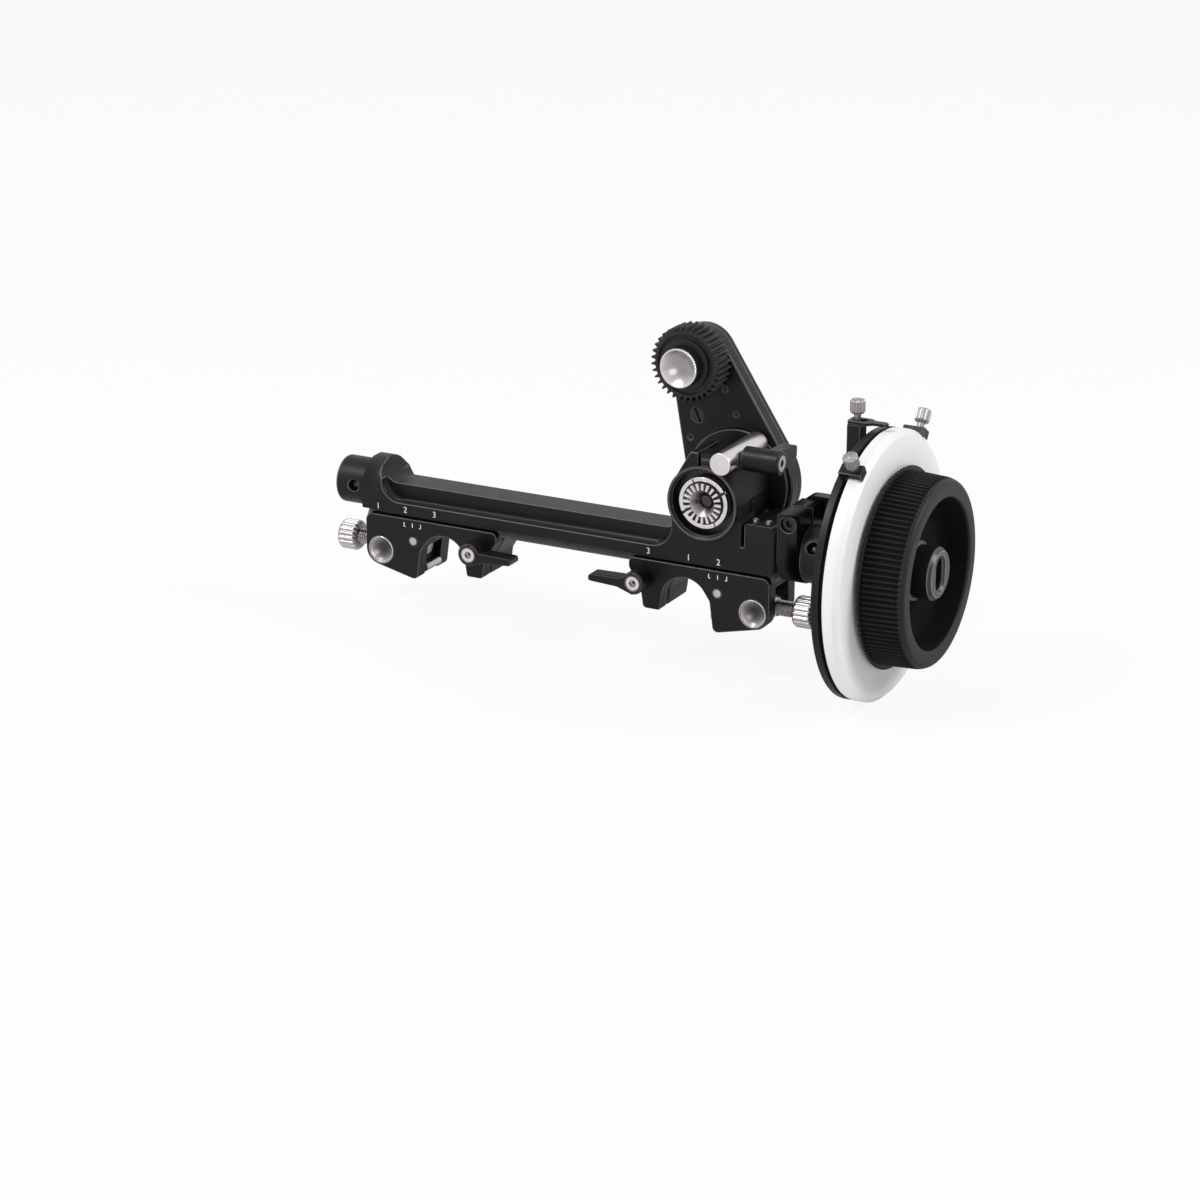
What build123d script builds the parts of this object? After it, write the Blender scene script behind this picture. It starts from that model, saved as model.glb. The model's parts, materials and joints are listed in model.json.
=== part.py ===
"""Follow focus unit for a pair of support rods, as an assembly of separate pieces.

Frame: millimetres, +Z up, +X along the drive shaft towards the handwheel, -Y towards the operator.
The origin is midway between the axes of the two support rods.
"""
from build123d import *
import os
from math import atan2, cos, degrees, pi, radians, sin, sqrt, tan

# ---------------------------------------------------------------- fits
SLIDE_GAP = 0.1        # between faces that slide on each other
RUN_GAP = 0.05         # radial, shaft in bore
FREE_GAP = 0.3         # between pieces that pass each other

# ---------------------------------------------------------------- support rods and clamps
ROD_SPACING = 104.0
ROD_X = ROD_SPACING / 2
ROD_BORE = 9.6
CLAMP_HALF_WIDTH = 11.45
CLAMP_TOP = 14.4
CLAMP_INNER = ROD_X - 23.4
CLAMP_OUTER = ROD_X + 34.8
CLAMP_FOOT = ROD_X + 11.9
ARCH_FOOT = ROD_X + 10.3
JAW_FOOT = ROD_X - 10.4
JAW_SLIT_END = ROD_X - 7.5
FORK_HALF_GAP = 5.6
JAW_SLIT = 1.5
PIVOT_X = ROD_X + 13.5
PIVOT_Z = 5.7
PIVOT_RADIUS = 1.5
ROLLER_X = ROD_X + 9.55
ROLLER_Z = -6.05
ROLLER_RADIUS = 1.65
LATCH_RADIUS = 11.7
LATCH_BACK = ROD_X + 15.4
PAD_RADIUS = 2.4
LEFT_LATCH_OPEN = 13.0
LATCH_THICKNESS = 10.4
BARREL_X = ROD_X + 28.1
BARREL_RADIUS = 5.45
THREAD_RADIUS = 3.0
STUD_REACH = 27.5
KNOB_RADIUS = 6.0
KNOB_LENGTH = 7.8
LEFT_SCREW_OUT = 3.3
KIP_X = ROD_X - 16.7
KIP_Z = 7.7
KIP_HUB_RADIUS = 4.4
KIP_HUB_LENGTH = 9.8
KIP_ARM_LENGTH = 18.6
KIP_STUD_RADIUS = 2.0

# ---------------------------------------------------------------- bridge beam and rail
BEAM_LEFT = -87.9
BEAM_RIGHT = 88.2
BEAM_HALF_WIDTH = 12.0
BEAM_BOTTOM = 16.4
LEDGE_TOP = 20.6
WEB_TOP = 26.7
WEB_HALF_WIDTH = 6.3
DRIVE_Z = 23.2
BOSS_RADIUS = 12.0
BOSS_END = BEAM_LEFT + 6.7
POCKET_LEFT = -79.6
POCKET_RIGHT = 46.6
POCKET_RADIUS = 8.5
BLOCK_TOP = 34.2
BLOCK_LEFT = BEAM_RIGHT - 11.8
SLIT_WIDTH = 1.2
SPIGOT_LENGTH = 9.4
SPIGOT_END = BEAM_RIGHT + SPIGOT_LENGTH
SET_SCREW_Y = -6.5
SET_SCREW_INSET = 2.2
SET_SCREW_PITCH = 5.3
SPIGOT_RADIUS = 8.0
RAIL_HEIGHT = 4.2
RAIL_HALF_BOTTOM = 9.2
RAIL_HALF_TOP = 6.8
RAIL_HALF_LENGTH = 87.6
RAIL_SCREW_PITCH = 30.0
RAIL_SCREWS = 4

# ---------------------------------------------------------------- shafts and bearings
SHAFT_RADIUS = 2.5
SHAFT_BORE = 2.8
SHAFT_GEAR_WIDTH = 8.0
CROSS_GEAR_WIDTH = 7.0
BEARING_RADIUS = 6.0
BEARING_WIDTH = 3.5
OUTPUT_RADIUS = 6.0
OUTPUT_BEARING_WIDTH = 4.0
RING_BORE = 12.5

# ---------------------------------------------------------------- gearbox
GEARBOX_X = 59.7
CROSS_MODULE = 0.8
SHAFT_GEAR_TEETH = 10
CROSS_GEAR_TEETH = 20
HELIX = 45.0
RING_RADIUS = 14.2
RING_FRONT = -13.5
EAR_TOP = 59.1
EAR_LEFT = 54.2
EAR_RIGHT = 64.4
EAR_BACK = 5.0
FLANGE_RADIUS = 20.6
FLANGE_FRONT = 16.6
ROSETTE_RADIUS = 9.9
ROSETTE_TEETH = 20
ROSETTE_HOLE_ACROSS = 2.6
ROSETTE_HOLE_DEPTH = 3.4
SADDLE_X = 68.0
SADDLE_Z = 57.0
SADDLE_RADIUS = 4.25
SADDLE_FRONT = -15.5
SADDLE_BACK = FLANGE_FRONT
LEVER_Y = -3.5
LEVER_HUB_RADIUS = 4.6
LEVER_END = 87.2
LEVER_ARM_LENGTH = 14.0
LEVER_ARM_WIDTH = 5.4
LEVER_HEAD_RADIUS = 3.0
LEVER_HEAD_DEPTH = 3.0

# ---------------------------------------------------------------- swing arm
ARM_FRONT = 18.9
ARM_BODY_THICKNESS = 5.4
ARM_COVER_THICKNESS = 3.2
ARM_ROOT_RADIUS = 21.9
ARM_TIP_RADIUS = 12.2
ARM_LEAN = -21.3
ARM_FLOOR = 1.8
ARM_SCREW_RADIUS = 1.0
ARM_SCREW_HEAD_RADIUS = 1.7
ARM_SCREW_HEAD_DEPTH = 1.4
ARM_SCREW_GRIP = 3.4
FRONT_SCREW_DEPTH = 1.2
GEAR_MODULE = 0.8
SUN_TEETH = 44
IDLER_TEETH = 27
OUTPUT_TEETH = 24
TRAIN_WIDTH = 4.0
BACKLASH = 0.16
SPINDLE_RADIUS = 4.0
SPINDLE_SEAT_RADIUS = 6.2
SPINDLE_STUD_RADIUS = 2.5
SPINDLE_BEARING_RADIUS = 7.0
POCKET_DEPTH = 1.0
IDLER_AXLE_RADIUS = 2.0
IDLER_SKIN = 0.6
ADJUSTER_ALONG = 28.2
ADJUSTER_ACROSS = -7.9
ADJUSTER_RADIUS = 2.9

# ---------------------------------------------------------------- drive gear and its nut
DRIVE_TEETH = 34
DRIVE_GEAR_FRONT = 8.0
DRIVE_GEAR_WIDTH = 10.0
GEAR_HUB_RADIUS = 9.6
NUT_FRONT = 1.7
NUT_RADIUS = 7.7

# ---------------------------------------------------------------- handwheel side
LEFT_HUB_LENGTH = 13.6
LEFT_HUB_END = BEAM_LEFT - FREE_GAP - LEFT_HUB_LENGTH
LEFT_HUB_RADIUS = 9.3
RIGHT_HUB_RADIUS = 10.9
RIGHT_HUB_LENGTH = 22.8
PLATE_X = SPIGOT_END + FREE_GAP + RIGHT_HUB_LENGTH
PLATE_THICKNESS = 4.4
PLATE_RADIUS = 50.3
RING_THICKNESS = 5.9
RING_BEVEL = 1.9
RING_SEAT_RADIUS = 33.0
WHEEL_BACK = PLATE_X + 12.1
WHEEL_FRONT = WHEEL_BACK + 16.6
WHEEL_RADIUS = 37.6
WHEEL_FLANGE_WIDTH = 1.5
WHEEL_BODY_RADIUS = 35.9
WHEEL_RIM_RADIUS = 35.2
WHEEL_MOUTH_RADIUS = 28.3
WHEEL_FLOOR = WHEEL_BACK + 6.2
SOCKET_RADIUS = 9.9
SOCKET_LENGTH = 12.4
SOCKET_WIDTH = 7.2
SOCKET_DEPTH = 9.0
SOCKET_BEVEL = 1.0
HUB_HOLE_RADIUS = 2.3
HUB_HOLE_DEPTH = 6.0
LEFT_HOLE_INSET = 8.2
RIGHT_HOLE_INSET = 5.0
LEFT_HOLE_ANGLE = 88.0
RIGHT_HOLE_ANGLE = 60.0

# ---------------------------------------------------------------- index bracket, arm and hard stops
BRACKET_LEFT = BEAM_RIGHT + 1.2
BRACKET_RIGHT = SPIGOT_END + FREE_GAP
BRACKET_HALF_WIDTH = 11.3
BRACKET_TOP = 40.2
BRACKET_SCREW_Z = 36.6
BRACKET_SCREW_RADIUS = 1.6
BRACKET_HOLE_RADIUS = 3.0
STRUT_BACK = 16.6
STRUT_BOTTOM = 32.6
STRUT_TOP = 41.4
INDEX_LEFT = PLATE_X - 8.4
INDEX_RIGHT = PLATE_X - 3.0
INDEX_WIDTH = 6.0
INDEX_TOP = DRIVE_Z + PLATE_RADIUS + 1.9
POINTER_THICKNESS = 1.4
POINTER_WIDTH = 2.6
POINTER_SHOULDER = 4.3
POINTER_SLOT = 6.0
POINTER_TIP = PLATE_X + 6.9
STOP_ANGLES = {"a": 33.5, "b": -34.0}
STOP_LEFT = PLATE_X + 0.9
STOP_RIGHT = STOP_LEFT + 8.8
STOP_WIDTH = 5.0
STOP_HEIGHT = 2.6
STOP_SCREW_X = STOP_LEFT + 5.6
RIM_GROOVE_LEFT = PLATE_X + 2.9
RIM_GROOVE_WIDTH = 1.5
RIM_GROOVE_DEPTH = 1.9
SMALL_HEAD_RADIUS = 2.8
SMALL_HEAD_LENGTH = 5.2
SMALL_NECK = 2.2
SMALL_THREAD_RADIUS = 1.3

# ---------------------------------------------------------------- worked out from the above
CROSS_RADIUS = CROSS_MODULE * CROSS_GEAR_TEETH / (2 * cos(radians(HELIX)))
PINION_RADIUS = CROSS_MODULE * SHAFT_GEAR_TEETH / (2 * cos(radians(HELIX)))
GEARBOX_Z = DRIVE_Z + CROSS_RADIUS + PINION_RADIUS
RAIL_BOTTOM = BEAM_BOTTOM - RAIL_HEIGHT
GROOVE_FLOOR = RAIL_BOTTOM - SLIDE_GAP
ARM_BACK = ARM_FRONT + ARM_BODY_THICKNESS + ARM_COVER_THICKNESS
ARM_SPLIT = ARM_FRONT + ARM_BODY_THICKNESS
ARM_RECESS = ARM_FRONT + 1.2
IDLER_ALONG = GEAR_MODULE * (SUN_TEETH + IDLER_TEETH) / 2
ARM_LENGTH = IDLER_ALONG + GEAR_MODULE * (IDLER_TEETH + OUTPUT_TEETH) / 2
TRAIN_FRONT = ARM_SPLIT - TRAIN_WIDTH + 0.6
PLATE_FRONT = PLATE_X + PLATE_THICKNESS
MARK_FRONT = PLATE_FRONT + RING_THICKNESS
KIP_FRONT = -CLAMP_HALF_WIDTH - FREE_GAP - KIP_HUB_LENGTH


# ================================================================ shape helpers
def block(x0, x1, y0, y1, z0, z1):
    """Rectangular block between two corners."""
    return Pos((x0 + x1) / 2, (y0 + y1) / 2, (z0 + z1) / 2) * Box(x1 - x0, y1 - y0, z1 - z0)


def bar_x(x0, x1, y, z, radius):
    """Cylinder along X."""
    return Pos((x0 + x1) / 2, y, z) * Rot(0, 90, 0) * Cylinder(radius, x1 - x0)


def bar_y(y0, y1, x, z, radius):
    """Cylinder along Y."""
    return Pos(x, (y0 + y1) / 2, z) * Rot(90, 0, 0) * Cylinder(radius, y1 - y0)


def bar_z(z0, z1, x, y, radius):
    """Cylinder along Z."""
    return Pos(x, y, (z0 + z1) / 2) * Cylinder(radius, z1 - z0)


def outline(*corners):
    """Closed face through (u, v, radius) corners, each corner rounded by its own radius."""
    points = [Vector(u, v) for u, v, _ in corners]
    count = len(points)
    edges, starts, ends = [], [], []
    for i, (point, corner) in enumerate(zip(points, corners)):
        radius = corner[2]
        back = (points[i - 1] - point).normalized()
        ahead = (points[(i + 1) % count] - point).normalized()
        half = radians(back.get_angle(ahead)) / 2
        reach = radius / tan(half)
        starts.append(point + back * reach)
        ends.append(point + ahead * reach)
        if radius:
            middle = point + (back + ahead).normalized() * (radius / sin(half) - radius)
            edges.append(ThreePointArc(starts[-1], middle, ends[-1]))
    for i in range(count):
        edges.append(Line(ends[i], starts[(i + 1) % count]))
    return make_face(edges)


def plate_y(face, y0, y1):
    """Face drawn in X and Z, made a plate from y0 to y1."""
    return extrude(Plane(origin=(0, y1, 0), x_dir=(1, 0, 0), z_dir=(0, -1, 0)) * face, amount=y1 - y0)


def plate_x(face, x0, x1):
    """Face drawn in Y and Z, made a plate from x0 to x1."""
    return extrude(Plane(origin=(x0, 0, 0), x_dir=(0, 1, 0), z_dir=(1, 0, 0)) * face, amount=x1 - x0)


def turned_x(z, *profile):
    """Profile of (x, radius) points turned about the X direction at height z."""
    return Pos(0, 0, z) * revolve(make_face(Polyline(*profile, close=True)), Axis.X)


def turned_y(x, z, *profile):
    """Profile of (radius, y) points turned about the Y direction."""
    return Pos(x, 0, z) * revolve(make_face(Polyline(*profile, close=True)), Axis.Y)


def hex_hole_y(x, z, y, across, depth):
    """Hexagon socket that goes in along +Y from y."""
    return plate_y(Pos(x, z) * RegularPolygon(across / 2, 6, major_radius=False), y - 1, y + depth)


def mirrored(part):
    """The same piece on the other side of the YZ plane."""
    return mirror(part, about=Plane.YZ)


def in_arm(part):
    """Piece drawn on an upright arm at the origin, moved to its leaning place on the gearbox."""
    return Pos(GEARBOX_X, 0, GEARBOX_Z) * Rot(0, ARM_LEAN, 0) * part


def on_rim(part, angle):
    """Piece drawn at the top of the rim on the X axis, turned about the drive axis to its place."""
    return Pos(0, 0, DRIVE_Z) * Rot(angle, 0, 0) * part


def spur_face(teeth, bore, phase=0.0, module=GEAR_MODULE, play=BACKLASH, addendum=1.0):
    """Face of a spur gear about the origin; a tooth is centred on +Y when the phase is 0.

    Each flank is drawn through three radii with the involute's thinning towards the tip.
    """
    pitch = module * teeth / 2
    base = pitch * cos(radians(20))
    roll = tan(radians(20)) - radians(20)
    radii = (max(pitch - 1.2 * module, base * 0.97), pitch, pitch + addendum * module)
    halves = []
    for radius in radii:
        swing = sqrt(max((radius / base) ** 2 - 1, 0))
        halves.append(pi / (2 * teeth) - play / (2 * pitch) + roll - (swing - atan2(swing, 1)))
    points = []
    for tooth in range(teeth):
        centre = pi / 2 + radians(phase) + 2 * pi * tooth / teeth
        for radius, half in zip(radii, halves):
            points.append((radius * cos(centre - half), radius * sin(centre - half)))
        for radius, half in zip(reversed(radii), reversed(halves)):
            points.append((radius * cos(centre + half), radius * sin(centre + half)))
    return make_face(Polyline(*points, close=True)) - Circle(bore)


def screw_gear(teeth, radius, width, bore):
    """Gear of a crossed pair along Z, with slanting grooves cut to the depth of a tooth."""
    gear = Cylinder(radius, width)
    groove = Pos(radius, 0, 0) * Rot(HELIX, 0, 0) * Box(CROSS_MODULE * 2, CROSS_MODULE * 1.5, width * 2.4)
    for tooth in range(teeth):
        gear -= Rot(0, 0, 360 * tooth / teeth) * groove
    return gear - Cylinder(bore, width)


# ================================================================ bridge beam
def beam_blank():
    """Outer form of the beam: left boss, slim web between two ledges, and the gearbox block."""
    top = DRIVE_Z + BOSS_RADIUS
    side = outline(
        (BEAM_LEFT, BEAM_BOTTOM, 0.6),
        (BEAM_RIGHT, BEAM_BOTTOM, 0.6),
        (BEAM_RIGHT, BLOCK_TOP, 0.6),
        (GEARBOX_X + RING_RADIUS, BLOCK_TOP, 2.0),
        (GEARBOX_X + RING_RADIUS, GEARBOX_Z, 0),
        (GEARBOX_X - RING_RADIUS, GEARBOX_Z, 0),
        (GEARBOX_X - RING_RADIUS, WEB_TOP, 4.0),
        (BOSS_END, WEB_TOP, 6.5),
        (BOSS_END, top, 1.0),
        (BEAM_LEFT, top, 0.6),
    )
    blank = plate_y(side, -BEAM_HALF_WIDTH, BEAM_HALF_WIDTH)
    corners = block(BEAM_LEFT, POCKET_RIGHT - POCKET_RADIUS, -BEAM_HALF_WIDTH, BEAM_HALF_WIDTH, DRIVE_Z, top)
    corners -= bar_x(BEAM_LEFT, POCKET_RIGHT - POCKET_RADIUS, 0, DRIVE_Z, BOSS_RADIUS)
    return blank - corners


def side_pocket():
    """Long pocket, rounded at its lower ends and open at the top, as a cutter through one side."""
    face = outline(
        (POCKET_LEFT, LEDGE_TOP, POCKET_RADIUS),
        (POCKET_RIGHT, LEDGE_TOP, POCKET_RADIUS),
        (POCKET_RIGHT, GEARBOX_Z, 0),
        (POCKET_LEFT, GEARBOX_Z, 0),
    )
    front = plate_y(face, -2 * BEAM_HALF_WIDTH, -WEB_HALF_WIDTH)
    return front + mirror(front, about=Plane.XZ)


def split_ring():
    """Gearbox ring with its teardrop shoulder and two flat ears."""
    ring = bar_y(RING_FRONT, BEAM_HALF_WIDTH, GEARBOX_X, GEARBOX_Z, RING_RADIUS)
    shoulder = radians(152)
    ears = outline(
        (GEARBOX_X + RING_RADIUS * cos(shoulder), GEARBOX_Z + RING_RADIUS * sin(shoulder), 0),
        (EAR_LEFT, EAR_TOP, 1.2),
        (EAR_RIGHT, EAR_TOP, 0.8),
        (EAR_RIGHT, GEARBOX_Z + RING_RADIUS * 0.6, 0),
        (GEARBOX_X, GEARBOX_Z, 0),
    )
    return ring + plate_y(ears, -BEAM_HALF_WIDTH, EAR_BACK)


def bridge_beam():
    """Beam with its shaft bore, bearing seats, gear space, split ring and split bearing block."""
    beam = beam_blank() - side_pocket() + split_ring()
    beam += bar_x(BEAM_RIGHT, SPIGOT_END, 0, DRIVE_Z, SPIGOT_RADIUS)
    beam += bar_y(0, FLANGE_FRONT, GEARBOX_X, GEARBOX_Z, RING_RADIUS)
    beam -= bar_x(BEAM_LEFT, SPIGOT_END, 0, DRIVE_Z, SHAFT_BORE)
    beam -= bar_x(BEAM_LEFT, BEAM_LEFT + BEARING_WIDTH, 0, DRIVE_Z, BEARING_RADIUS)
    beam -= bar_x(SPIGOT_END - BEARING_WIDTH, SPIGOT_END, 0, DRIVE_Z, BEARING_RADIUS)
    beam -= bar_y(RING_FRONT, FLANGE_FRONT, GEARBOX_X, GEARBOX_Z, RING_BORE)
    beam -= turned_y(GEARBOX_X, GEARBOX_Z, (0, RING_FRONT), (RING_BORE + 1, RING_FRONT),
                     (RING_BORE, RING_FRONT + 1), (0, RING_FRONT + 1))
    beam -= bar_x(GEARBOX_X - 7, GEARBOX_X + 7, 0, DRIVE_Z, PINION_RADIUS + FREE_GAP)
    beam -= block(EAR_LEFT + 3.2, EAR_LEFT + 3.2 + SLIT_WIDTH, -BEAM_HALF_WIDTH, EAR_BACK,
                  GEARBOX_Z, EAR_TOP)
    beam -= bar_y(-BEAM_HALF_WIDTH, EAR_BACK, SADDLE_X, SADDLE_Z, SADDLE_RADIUS)
    beam -= bar_x(EAR_LEFT, EAR_RIGHT, LEVER_Y, SADDLE_Z, SMALL_THREAD_RADIUS + RUN_GAP)
    beam -= block(BLOCK_LEFT - SLIT_WIDTH, BLOCK_LEFT, -BEAM_HALF_WIDTH, BEAM_HALF_WIDTH,
                  DRIVE_Z + SHAFT_BORE - 0.5, BLOCK_TOP)
    for x, y in set_screw_places():
        beam -= bar_z(BLOCK_TOP - 5, BLOCK_TOP, x, y, SMALL_THREAD_RADIUS)
    return beam


def dovetail_rail():
    """Dovetail under the beam, wider at its bottom, with countersunk screw holes."""
    section = outline(
        (-RAIL_HALF_BOTTOM, RAIL_BOTTOM, 0.3), (RAIL_HALF_BOTTOM, RAIL_BOTTOM, 0.3),
        (RAIL_HALF_TOP, BEAM_BOTTOM, 0), (-RAIL_HALF_TOP, BEAM_BOTTOM, 0))
    rail = plate_x(section, -RAIL_HALF_LENGTH, RAIL_HALF_LENGTH)
    return rail - rail_screws()


def rail_screws():
    """Countersunk screws that hold the rail to the beam."""
    screws = []
    for i in range(RAIL_SCREWS):
        x = (i - (RAIL_SCREWS - 1) / 2) * RAIL_SCREW_PITCH
        head = Pos(x, 0, RAIL_BOTTOM) * revolve(make_face(Polyline(
            (0, 0), (2.8, 0), (1.5, 1.6), (1.5, RAIL_HEIGHT), (0, RAIL_HEIGHT), close=True)).rotate(
                Axis.X, 90), Axis.Z)
        screws.append(head)
    return Compound(screws)


def set_screw_places():
    """Places in X and Y of the two set screws in the bearing block."""
    first = BLOCK_LEFT + SET_SCREW_INSET
    return [(first, SET_SCREW_Y), (first + SET_SCREW_PITCH, SET_SCREW_Y)]


def boss_set_screws():
    """Two set screws in the top of the bearing block."""
    return Compound([bar_z(BLOCK_TOP - 5, BLOCK_TOP - 0.2, x, y, SMALL_THREAD_RADIUS)
                     - Pos(x, y, BLOCK_TOP - 1.2) * extrude(RegularPolygon(0.75, 6), 1.2)
                     for x, y in set_screw_places()])


def gearbox_flange():
    """Round flange behind the gearbox that the swing arm turns on."""
    flange = bar_y(FLANGE_FRONT, ARM_RECESS - SLIDE_GAP, GEARBOX_X, GEARBOX_Z, FLANGE_RADIUS)
    return flange - bar_y(FLANGE_FRONT, ARM_RECESS, GEARBOX_X, GEARBOX_Z, OUTPUT_RADIUS + FREE_GAP)


def bearing(outer, inner, width):
    """Closed ball bearing about Z with a shallow step between its rings."""
    ring = Cylinder(outer, width) - Cylinder(inner + RUN_GAP, width)
    groove = Cylinder(outer - 1.2, width) - Cylinder(inner + 1.2, width)
    return ring - Pos(0, 0, width - 0.3) * groove - Pos(0, 0, 0.3 - width) * groove


def gearbox_bearings():
    """Two bearings on the drive shaft and two on the output shaft."""
    shaft = [Pos(x, 0, DRIVE_Z) * Rot(0, 90, 0) * bearing(BEARING_RADIUS, SHAFT_RADIUS, BEARING_WIDTH)
             for x in (BEAM_LEFT + BEARING_WIDTH / 2, SPIGOT_END - BEARING_WIDTH / 2)]
    output = [Pos(GEARBOX_X, y, GEARBOX_Z) * Rot(90, 0, 0)
              * bearing(RING_BORE, OUTPUT_RADIUS, OUTPUT_BEARING_WIDTH)
              for y in (-6.2, FLANGE_FRONT - OUTPUT_BEARING_WIDTH / 2)]
    return Compound(shaft + output)


def saddle_rod():
    """Round bar that the collar lever pulls against the right ear."""
    rod = turned_y(SADDLE_X, SADDLE_Z, (0, SADDLE_FRONT), (SADDLE_RADIUS - 0.4, SADDLE_FRONT),
                   (SADDLE_RADIUS, SADDLE_FRONT + 0.4), (SADDLE_RADIUS, SADDLE_BACK - 0.6),
                   (SADDLE_RADIUS - 0.6, SADDLE_BACK), (0, SADDLE_BACK))
    return rod - bar_x(EAR_RIGHT - 2, LEVER_END, LEVER_Y, SADDLE_Z, SMALL_THREAD_RADIUS + RUN_GAP)


def collar_lever():
    """Black lever: hub along X with an arm that points back."""
    start = SADDLE_X + SADDLE_RADIUS + SLIDE_GAP
    hub = turned_x(0, (start, 0), (start, LEVER_HUB_RADIUS - 0.5), (start + 0.5, LEVER_HUB_RADIUS),
                   (LEVER_END - 0.5, LEVER_HUB_RADIUS), (LEVER_END, LEVER_HUB_RADIUS - 0.5), (LEVER_END, 0))
    arm = plate_x(outline((0, LEVER_HUB_RADIUS, 0), (0, -3.6, 0), (LEVER_ARM_LENGTH, -1.3, 1.6),
                          (LEVER_ARM_LENGTH, LEVER_HUB_RADIUS - 1.1, 1.6)),
                  LEVER_END - LEVER_ARM_WIDTH, LEVER_END - 0.3)
    lever = Pos(0, LEVER_Y, SADDLE_Z) * (hub + arm)
    return lever - collar_screw_space()


def collar_screw_space():
    """Stepped hole through the collar lever for its screw."""
    return (bar_x(SADDLE_X, LEVER_END, LEVER_Y, SADDLE_Z, SMALL_THREAD_RADIUS)
            + bar_x(LEVER_END - LEVER_HEAD_DEPTH, LEVER_END, LEVER_Y, SADDLE_Z, LEVER_HEAD_RADIUS))


def collar_lever_screw():
    """Silver socket screw through the lever, the saddle bar and both ears."""
    head = bar_x(LEVER_END - LEVER_HEAD_DEPTH, LEVER_END + 0.2, LEVER_Y, SADDLE_Z, LEVER_HEAD_RADIUS)
    shank = bar_x(EAR_LEFT + 1.0, LEVER_END - LEVER_HEAD_DEPTH, LEVER_Y, SADDLE_Z, SMALL_THREAD_RADIUS)
    socket = Pos(0, LEVER_Y, SADDLE_Z) * plate_x(RegularPolygon(1.5, 6), LEVER_END - 1.8, LEVER_END + 1)
    return head + shank - socket


# ================================================================ drive shaft line
def drive_shaft():
    """Shaft through the whole beam, from the left hub to the crank socket."""
    return bar_x(LEFT_HUB_END + 2, WHEEL_FLOOR, 0, DRIVE_Z, SHAFT_RADIUS)


def shaft_gear():
    """Small screw gear on the drive shaft."""
    gear = screw_gear(SHAFT_GEAR_TEETH, PINION_RADIUS - SLIDE_GAP, SHAFT_GEAR_WIDTH, SHAFT_RADIUS)
    return Pos(GEARBOX_X, 0, DRIVE_Z) * Rot(0, 90, 0) * gear


def hub_hole(x, radius, angle):
    """Cross hole in a hub, drilled from outside towards the axis."""
    hole = Pos(x, 0, 0) * bar_z(radius - HUB_HOLE_DEPTH, radius + 1, 0, 0, HUB_HOLE_RADIUS)
    return Pos(0, 0, DRIVE_Z) * Rot(angle, 0, 0) * hole


def hub_places():
    """Cross holes as (x, hub radius, turn about the drive axis)."""
    return [(LEFT_HUB_END + LEFT_HOLE_INSET, LEFT_HUB_RADIUS, LEFT_HOLE_ANGLE),
            (SPIGOT_END + FREE_GAP + RIGHT_HOLE_INSET, RIGHT_HUB_RADIUS, RIGHT_HOLE_ANGLE)]


def left_hub():
    """Plain hub at the left end that can take the handwheel instead."""
    left, right, r = LEFT_HUB_END, BEAM_LEFT - FREE_GAP, LEFT_HUB_RADIUS
    hub = turned_x(DRIVE_Z, (left, SHAFT_RADIUS), (left, r - 0.6), (left + 0.6, r), (right, r),
                   (right, BEARING_RADIUS - 1.5), (right + 0.1, SHAFT_RADIUS))
    hub -= bar_x(left, left + 2, 0, DRIVE_Z, SHAFT_RADIUS + 2.5)
    return hub - hub_hole(*hub_places()[0])


def right_hub():
    """Hub that carries the back plate of the handwheel."""
    left, right, r = SPIGOT_END + FREE_GAP, PLATE_X, RIGHT_HUB_RADIUS
    hub = turned_x(DRIVE_Z, (left, SHAFT_RADIUS), (left, r - 0.5), (left + 0.5, r), (right, r),
                   (right, SHAFT_RADIUS))
    return hub - hub_hole(*hub_places()[1])


def hub_balls():
    """Steel locking balls at the bottom of the cross holes."""
    balls = []
    for x, radius, angle in hub_places():
        ball = Pos(x, 0, radius - HUB_HOLE_DEPTH + HUB_HOLE_RADIUS) * Sphere(HUB_HOLE_RADIUS - RUN_GAP)
        balls.append(Pos(0, 0, DRIVE_Z) * Rot(angle, 0, 0) * Pos(0, 0, -RUN_GAP) * ball)
    return Compound(balls)


def back_plate():
    """Black disc behind the marking ring, with a groove round its rim for the hard stops."""
    x0, r = PLATE_X, PLATE_RADIUS
    groove, bottom = RIM_GROOVE_LEFT, PLATE_RADIUS - RIM_GROOVE_DEPTH
    x1 = groove + RIM_GROOVE_WIDTH
    return turned_x(
        DRIVE_Z, (x0, SHAFT_RADIUS), (x0, r - 0.4), (x0 + 0.4, r), (groove, r), (groove, bottom),
        (x1, bottom), (x1, RING_SEAT_RADIUS), (WHEEL_BACK, RING_SEAT_RADIUS), (WHEEL_BACK, SHAFT_RADIUS))


def marking_ring():
    """White ring for focus marks, bevelled at its outer front edge."""
    return turned_x(DRIVE_Z, (PLATE_FRONT, RING_SEAT_RADIUS), (PLATE_FRONT, PLATE_RADIUS),
                    (MARK_FRONT - RING_BEVEL, PLATE_RADIUS), (MARK_FRONT, PLATE_RADIUS - RING_BEVEL),
                    (MARK_FRONT, RING_SEAT_RADIUS))


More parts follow.
